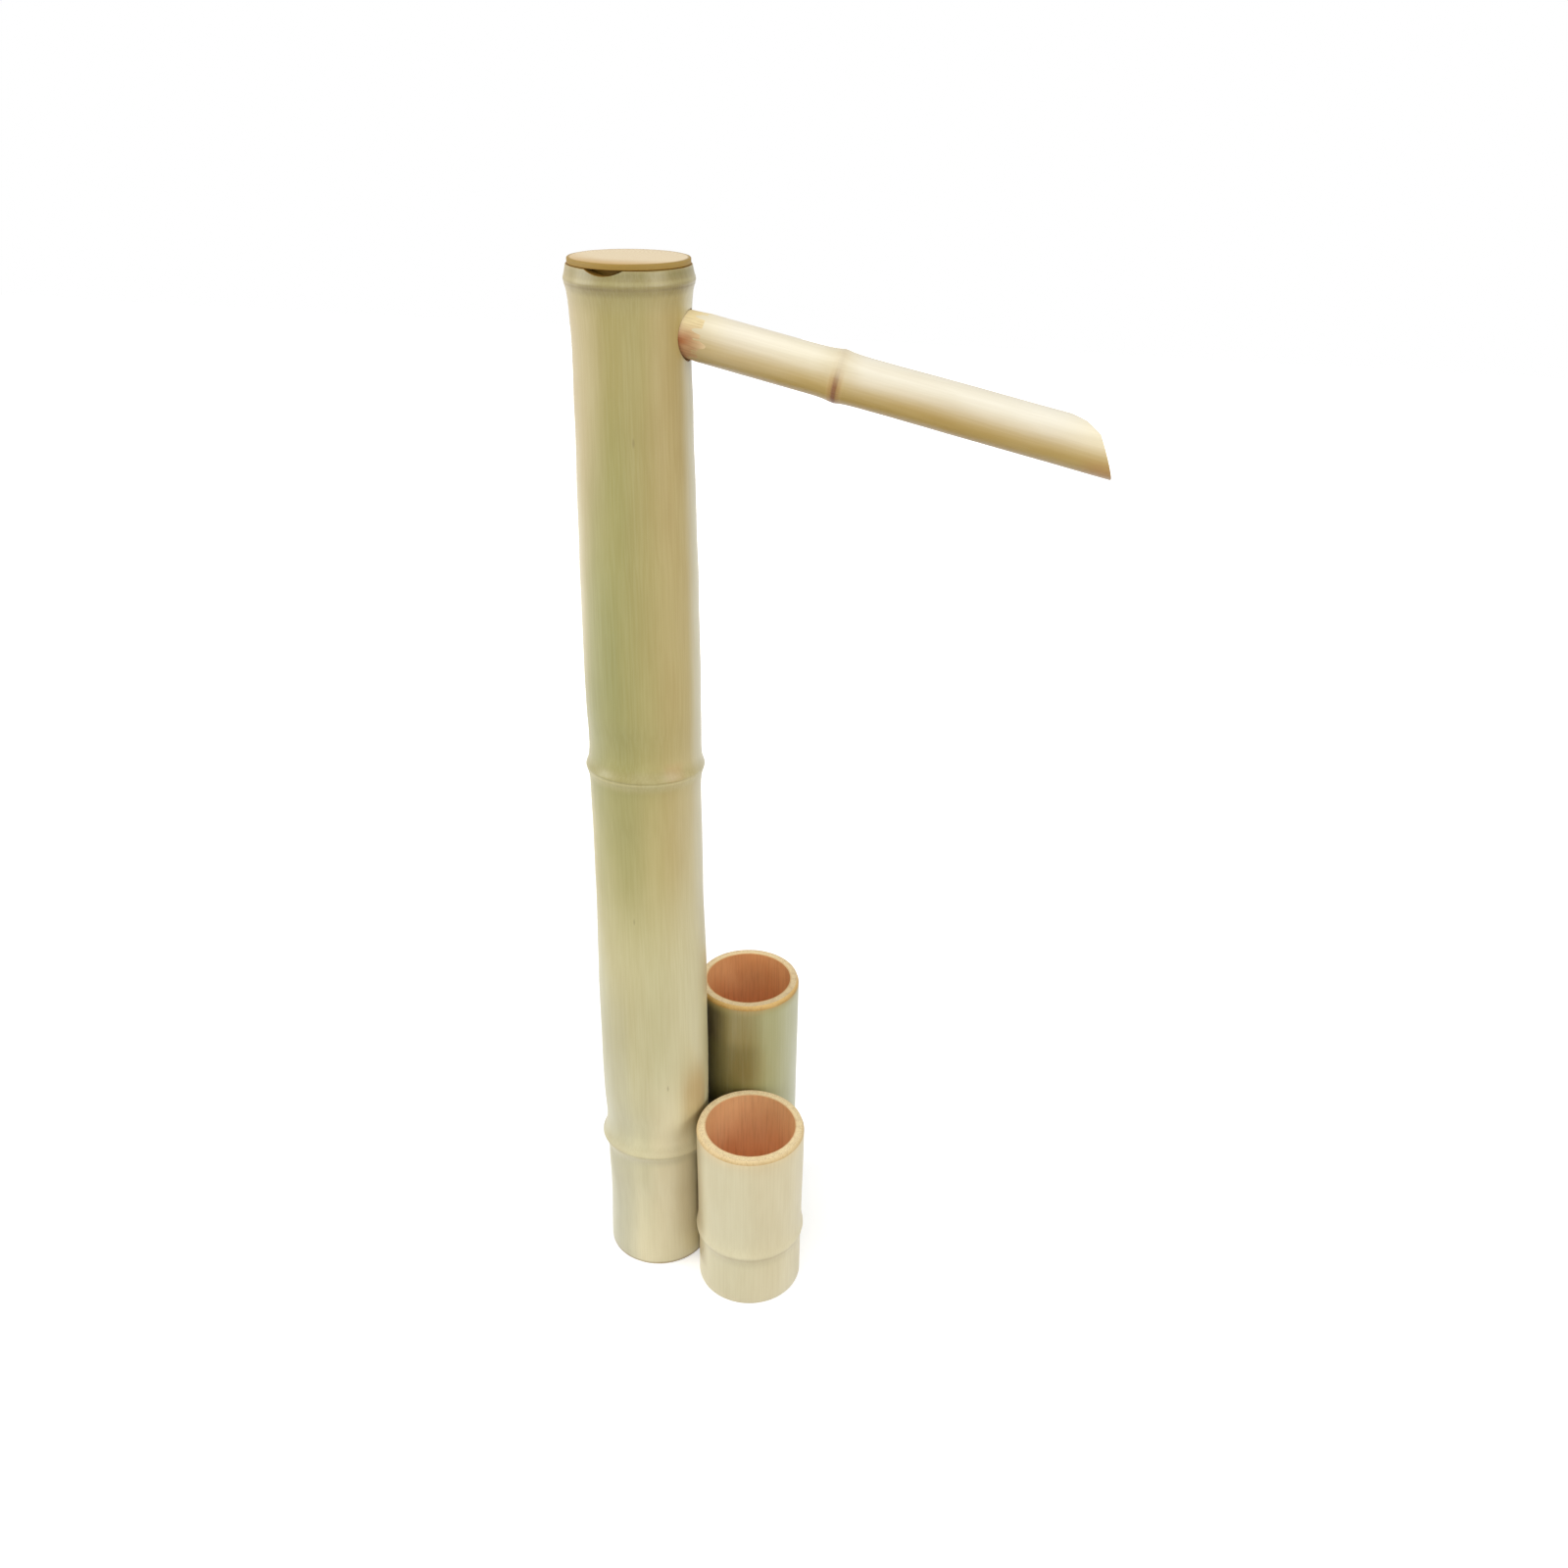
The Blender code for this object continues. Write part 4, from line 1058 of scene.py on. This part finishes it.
CUP_SKINS = {
    "short_cup": dict(
        bands=((0.0, (228, 217, 180)), (0.30, (228, 217, 178)), (0.36, (224, 213, 175)),
               (0.85, (225, 213, 175)), (1.0, (224, 206, 164))),
        tints=((-120, 60, (216, 210, 172, 0.4), 0.0, 0.14),
               # Painted shadow: a dark brown seam on the side that stands against the post
               (-172, 42, (132, 98, 44, 0.60), 0.015, 0.20),
               (-20, 50, (222, 210, 172, 0.4), 0.0, 0.14)),
        marks=((SHORT_NODE, 0.050, 0.0, -70, 0.6, (
            (0.22, (216, 204, 164, 0.0)), (0.40, (210, 198, 156, 0.5)), (0.472, (200, 184, 140, 0.6)),
            (0.50, (224, 214, 178, 0.5)), (0.64, (218, 208, 172, 0.0)))),),
        seed=7.0),
    "tall_cup": dict(
        bands=((0.0, (154, 144, 88)), (0.4, (150, 139, 84)), (0.75, (156, 146, 90)),
               (0.955, (160, 150, 95)), (1.0, (174, 142, 78))),
        # Painted light and shade: the cup lighter towards its right, darker towards the post, and nearly
        # black where it stands against it
        tints=((-40, 46, (172, 172, 122, 0.7), 0.0, 0.221),
               (10, 60, (198, 200, 168, 0.8), 0.0, 0.221),
               (-100, 46, (138, 118, 62, 0.5), 0.0, 0.221),
               (-137, 42, (44, 30, 4, 0.95), 0.0, 0.221),
               (-105, 50, (104, 98, 46, 0.5), -0.05, 0.19)),
        marks=((TALL_NODE, 0.050, 0.0, -40, 0.6, (
            (0.22, (150, 142, 92, 0.0)), (0.40, (168, 166, 128, 0.5)), (0.472, (106, 92, 54, 0.7)),
            (0.50, (150, 146, 98, 0.5)), (0.64, (150, 146, 98, 0.0)))),),
        seed=11.0),
}
# The sawn wood and its rind, the light and dark of the hollow's lining, and the pale and brown of
# the knife-cut chamfer
CUP_CUTS = {
    "short_cup": (
        ((243, 223, 178), (230, 198, 148)), ((255, 205, 153), (250, 195, 142)),
        ((228, 204, 154), (208, 176, 120))),
    "tall_cup": (
        ((240, 217, 170), (222, 184, 126)), ((251, 190, 132), (243, 176, 116)),
        ((220, 182, 112), (178, 134, 62))),
}
cup_pieces = {}
for name, (height, node, stations) in CUPS.items():
    foot = middle(name)
    line = cup_line(height, node, stations)
    cup = draw_and_spin(name + "_bamboo", line, foot, upward, CULM_SIDES, closed=False)
    weather(cup, swell=0.0004)
    skin = bamboo_skin(name + "_skin", foot, upward, height, **CUP_SKINS[name])
    rim_outer = stations[-1][1]
    sawn, hollow, pared = CUP_CUTS[name]
    grain = bamboo_end_grain(name + "_end_grain", foot, upward, rim_outer - CUP_WALL, rim_outer, *sawn)
    lining = bamboo_inside(name + "_lining", foot, upward, *hollow, height)
    bared = whittled_wood(
        name + "_chamfer", foot, upward, *pared, soaked_to=height - CHAMFER_SOAK, dry_from=height)
    finish_surfaces(cup, (skin, grain, lining, bared), cup_surface(foot, height, node, stations))
    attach(cup, "post")
    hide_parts(name)
    cup_pieces[name] = cup

# Cup screws: pan-head steel wood screws with a cross recess, two to a cup, driven from inside the
# cup through drilled holes into the post.
SCREW_LENGTH = 0.0240
SCREW_TIP = 0.0035
SCREW_POINT = (0.0002, 0.0003)
CUP_PILOT_DEPTH = 0.030
PILOT_PAST_SEAT = 0.0004
SHANK_RADIUS = 0.0018
CORE_RADIUS = 0.0013
HEAD_RADIUS = 0.0036
HEAD_HEIGHT = 0.0020
HEAD_SIDE = 0.0007
HEAD_EDGE = 0.0002
CORE_FROM = 0.0085
SHANK_TAPER = 0.0006
RECESS_WIDTH = 0.0008
RECESS_SPAN = 0.0038
RECESS_DEPTH = 0.0012


def bright_steel(name):
    """Zinc-plated steel, a little dulled, with fine turning marks."""
    finish = new_finish(name)
    dull = mottle(finish, object_place(finish), 1.0, 900.0, 4.0, 0.6)
    colour = over(finish, dull, paint(206, 202, 192), paint(150, 144, 130))
    sheen = between(finish, dull, 0.2, 0.8, 0.26, 0.46)
    return dress(finish, colour, sheen, dull, 0.2, 0.00005, {"Metallic": 1.0})


def make_screw(name):
    """A screw standing at the origin, its head's flat underside at 0 and its point upwards."""
    point_radius, point_length = SCREW_POINT
    line = [(0.0, SCREW_LENGTH), (point_radius, SCREW_LENGTH - point_length)]
    line += [(CORE_RADIUS, SCREW_LENGTH - SCREW_TIP), (CORE_RADIUS, CORE_FROM)]
    line += [(SHANK_RADIUS, CORE_FROM - SHANK_TAPER), (SHANK_RADIUS, 0.0)]
    line += [(HEAD_RADIUS - HEAD_EDGE, 0.0), (HEAD_RADIUS, -HEAD_EDGE), (HEAD_RADIUS, -HEAD_SIDE)]
    for step in range(1, 6):
        crown = math.pi / 2 * step / 6
        drop = HEAD_SIDE + (HEAD_HEIGHT - HEAD_SIDE) * math.sin(crown)
        line.append((HEAD_RADIUS * math.cos(crown), -drop))
    line.append((0.0, -HEAD_HEIGHT))
    screw = draw_and_spin(name, line, Vector(), upward, sides=40, closed=False)
    for width, breadth in ((RECESS_SPAN, RECESS_WIDTH), (RECESS_WIDTH, RECESS_SPAN)):
        clear_selection()
        bpy.ops.mesh.primitive_cube_add(
            size=1.0, location=(0, 0, -HEAD_HEIGHT), scale=(width, breadth, 2 * RECESS_DEPTH))
        cut_away(screw, bpy.context.object)
    return screw


screw_steel = bright_steel("screw_steel")
screw_pattern = make_screw("screw_pattern")
for name, cup in SCREW_CUPS.items():
    height, cup_axis, towards = screw_place(name)
    tip = max((vertex.co - cup_axis).dot(towards) for vertex in frame["nodes"][name].data.vertices)
    seat = cup_axis + towards * (tip - SCREW_LENGTH) + upward * height
    pilot_start = seat + towards * PILOT_PAST_SEAT
    drill(cup_pieces[cup], PILOT_RADIUS, pilot_start, towards, CUP_PILOT_DEPTH, PILOT_SIDES)
    screw = screw_pattern.copy()
    screw.data = screw_pattern.data.copy()
    screw.name = screw.data.name = name + "_steel"
    bpy.context.scene.collection.objects.link(screw)
    turn = Matrix((upward.cross(towards), upward, towards)).transposed()
    screw.matrix_world = Matrix.Translation(seat) @ turn.to_4x4()
    take_up(screw)
    bpy.ops.object.transform_apply(location=True, rotation=True, scale=True)
    finish_surfaces(screw, (screw_steel,))
    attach(screw, "post")
    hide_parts(name)
bpy.data.objects.remove(screw_pattern, do_unlink=True)

# Lid: a thin disc turned from pale wood. Its plug drops into the socket that the top diaphragm
# leaves in the post, and its edge rests on the sawn rim, so it lifts straight off.
LID_TOP = 0.750
LID_RADIUS = 0.0356
LID_PLUG_RADIUS = 0.0272
LID_PLUG_BOTTOM = 0.7415
LID_GAP = 0.0002
LID_DISH = 0.0002
LID_DISH_SHARE = 0.6
LID_TOP_ROUND = 0.0008
LID_UNDER_ROUND = 0.0003
LID_PLUG_ROUND = 0.0010
# How closely the growth rings lie, as the turn of a wave in radians for each metre
RING_CLOSENESS = 2600.0


def lid_timber(name, foot):
    """Peach-coloured end grain with faint growth rings and saw marks, its edge scorched ochre, and
    painted shade along its front and under its edge.
    """
    finish = new_finish(name)
    place = own_place(finish, foot, upward)
    x, y, z = add(finish, "SeparateXYZ", {0: place}).outputs
    off_centre = add(finish, "Mapping", {"Vector": place, "Location": (0.012, -0.02, 0)}).outputs[0]
    ring_x, ring_y, _ = add(finish, "SeparateXYZ", {0: off_centre}).outputs
    wobble = mottle(finish, place, 1.0, 45.0, 3.0, 0.5)
    reach = reckon(finish, 'MULTIPLY_ADD', wobble, 0.006, from_axis(finish, ring_x, ring_y))
    ring = reckon(finish, 'SINE', product(finish, reach, RING_CLOSENESS))
    fine = mottle(finish, place, 1.0, 1100.0, 4.0, 0.65)
    colour = wash(finish, paint(229, 212, 178), ring, -1.0, 1.0, 0.45, (216, 191, 150), 'MIX')
    colour = wash(finish, colour, fine, 0.4, 0.8, 0.3, (196, 156, 104))
    # Painted shade: a darker ochre towards the edge, most along the front and less along the front-left
    for across, along, start, cover in ((-0.72, -0.69, 0.4, 0.5), (0.0, -1.0, 0.2, 0.8)):
        side = aimed(finish, x, y, across, along)
        colour = wash(finish, colour, side, start * LID_RADIUS, LID_RADIUS, cover, (190, 152, 84), 'MIX')
    out = from_axis(finish, x, y)
    colour = wash(
        finish, colour, out, LID_RADIUS - 0.0026, LID_RADIUS - 0.0008, 0.95, (147, 116, 38), 'MIX')
    # Painted shade: all that lies under the edge is a dark ochre
    colour = wash(finish, colour, z, POST_TOP + 0.0010, POST_TOP + 0.0004, 1.0, (146, 110, 30), 'MIX')
    return dress(finish, colour, 0.62, fine, 0.35, 0.0002)


under = POST_TOP + LID_GAP
lid_line = [(0.0, LID_TOP - LID_DISH), (LID_RADIUS * LID_DISH_SHARE, LID_TOP)]
lid_line += rounded_edge(LID_RADIUS, LID_TOP, LID_TOP_ROUND, -1)
lid_line += rounded_edge(LID_RADIUS, under, LID_UNDER_ROUND, 1)[::-1]
lid_line += [(LID_PLUG_RADIUS, under)]
lid_line += rounded_edge(LID_PLUG_RADIUS, LID_PLUG_BOTTOM, LID_PLUG_ROUND, 1)[::-1]
lid_line += [(0.0, LID_PLUG_BOTTOM)]
lid = draw_and_spin("lid_disc", lid_line, post_foot, upward, CULM_SIDES, closed=False)
weather(lid, swell=0.0002, grain=0.02)
finish_surfaces(lid, (lid_timber("lid_timber", post_foot),))
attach(lid, "lid")
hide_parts("top_lid")
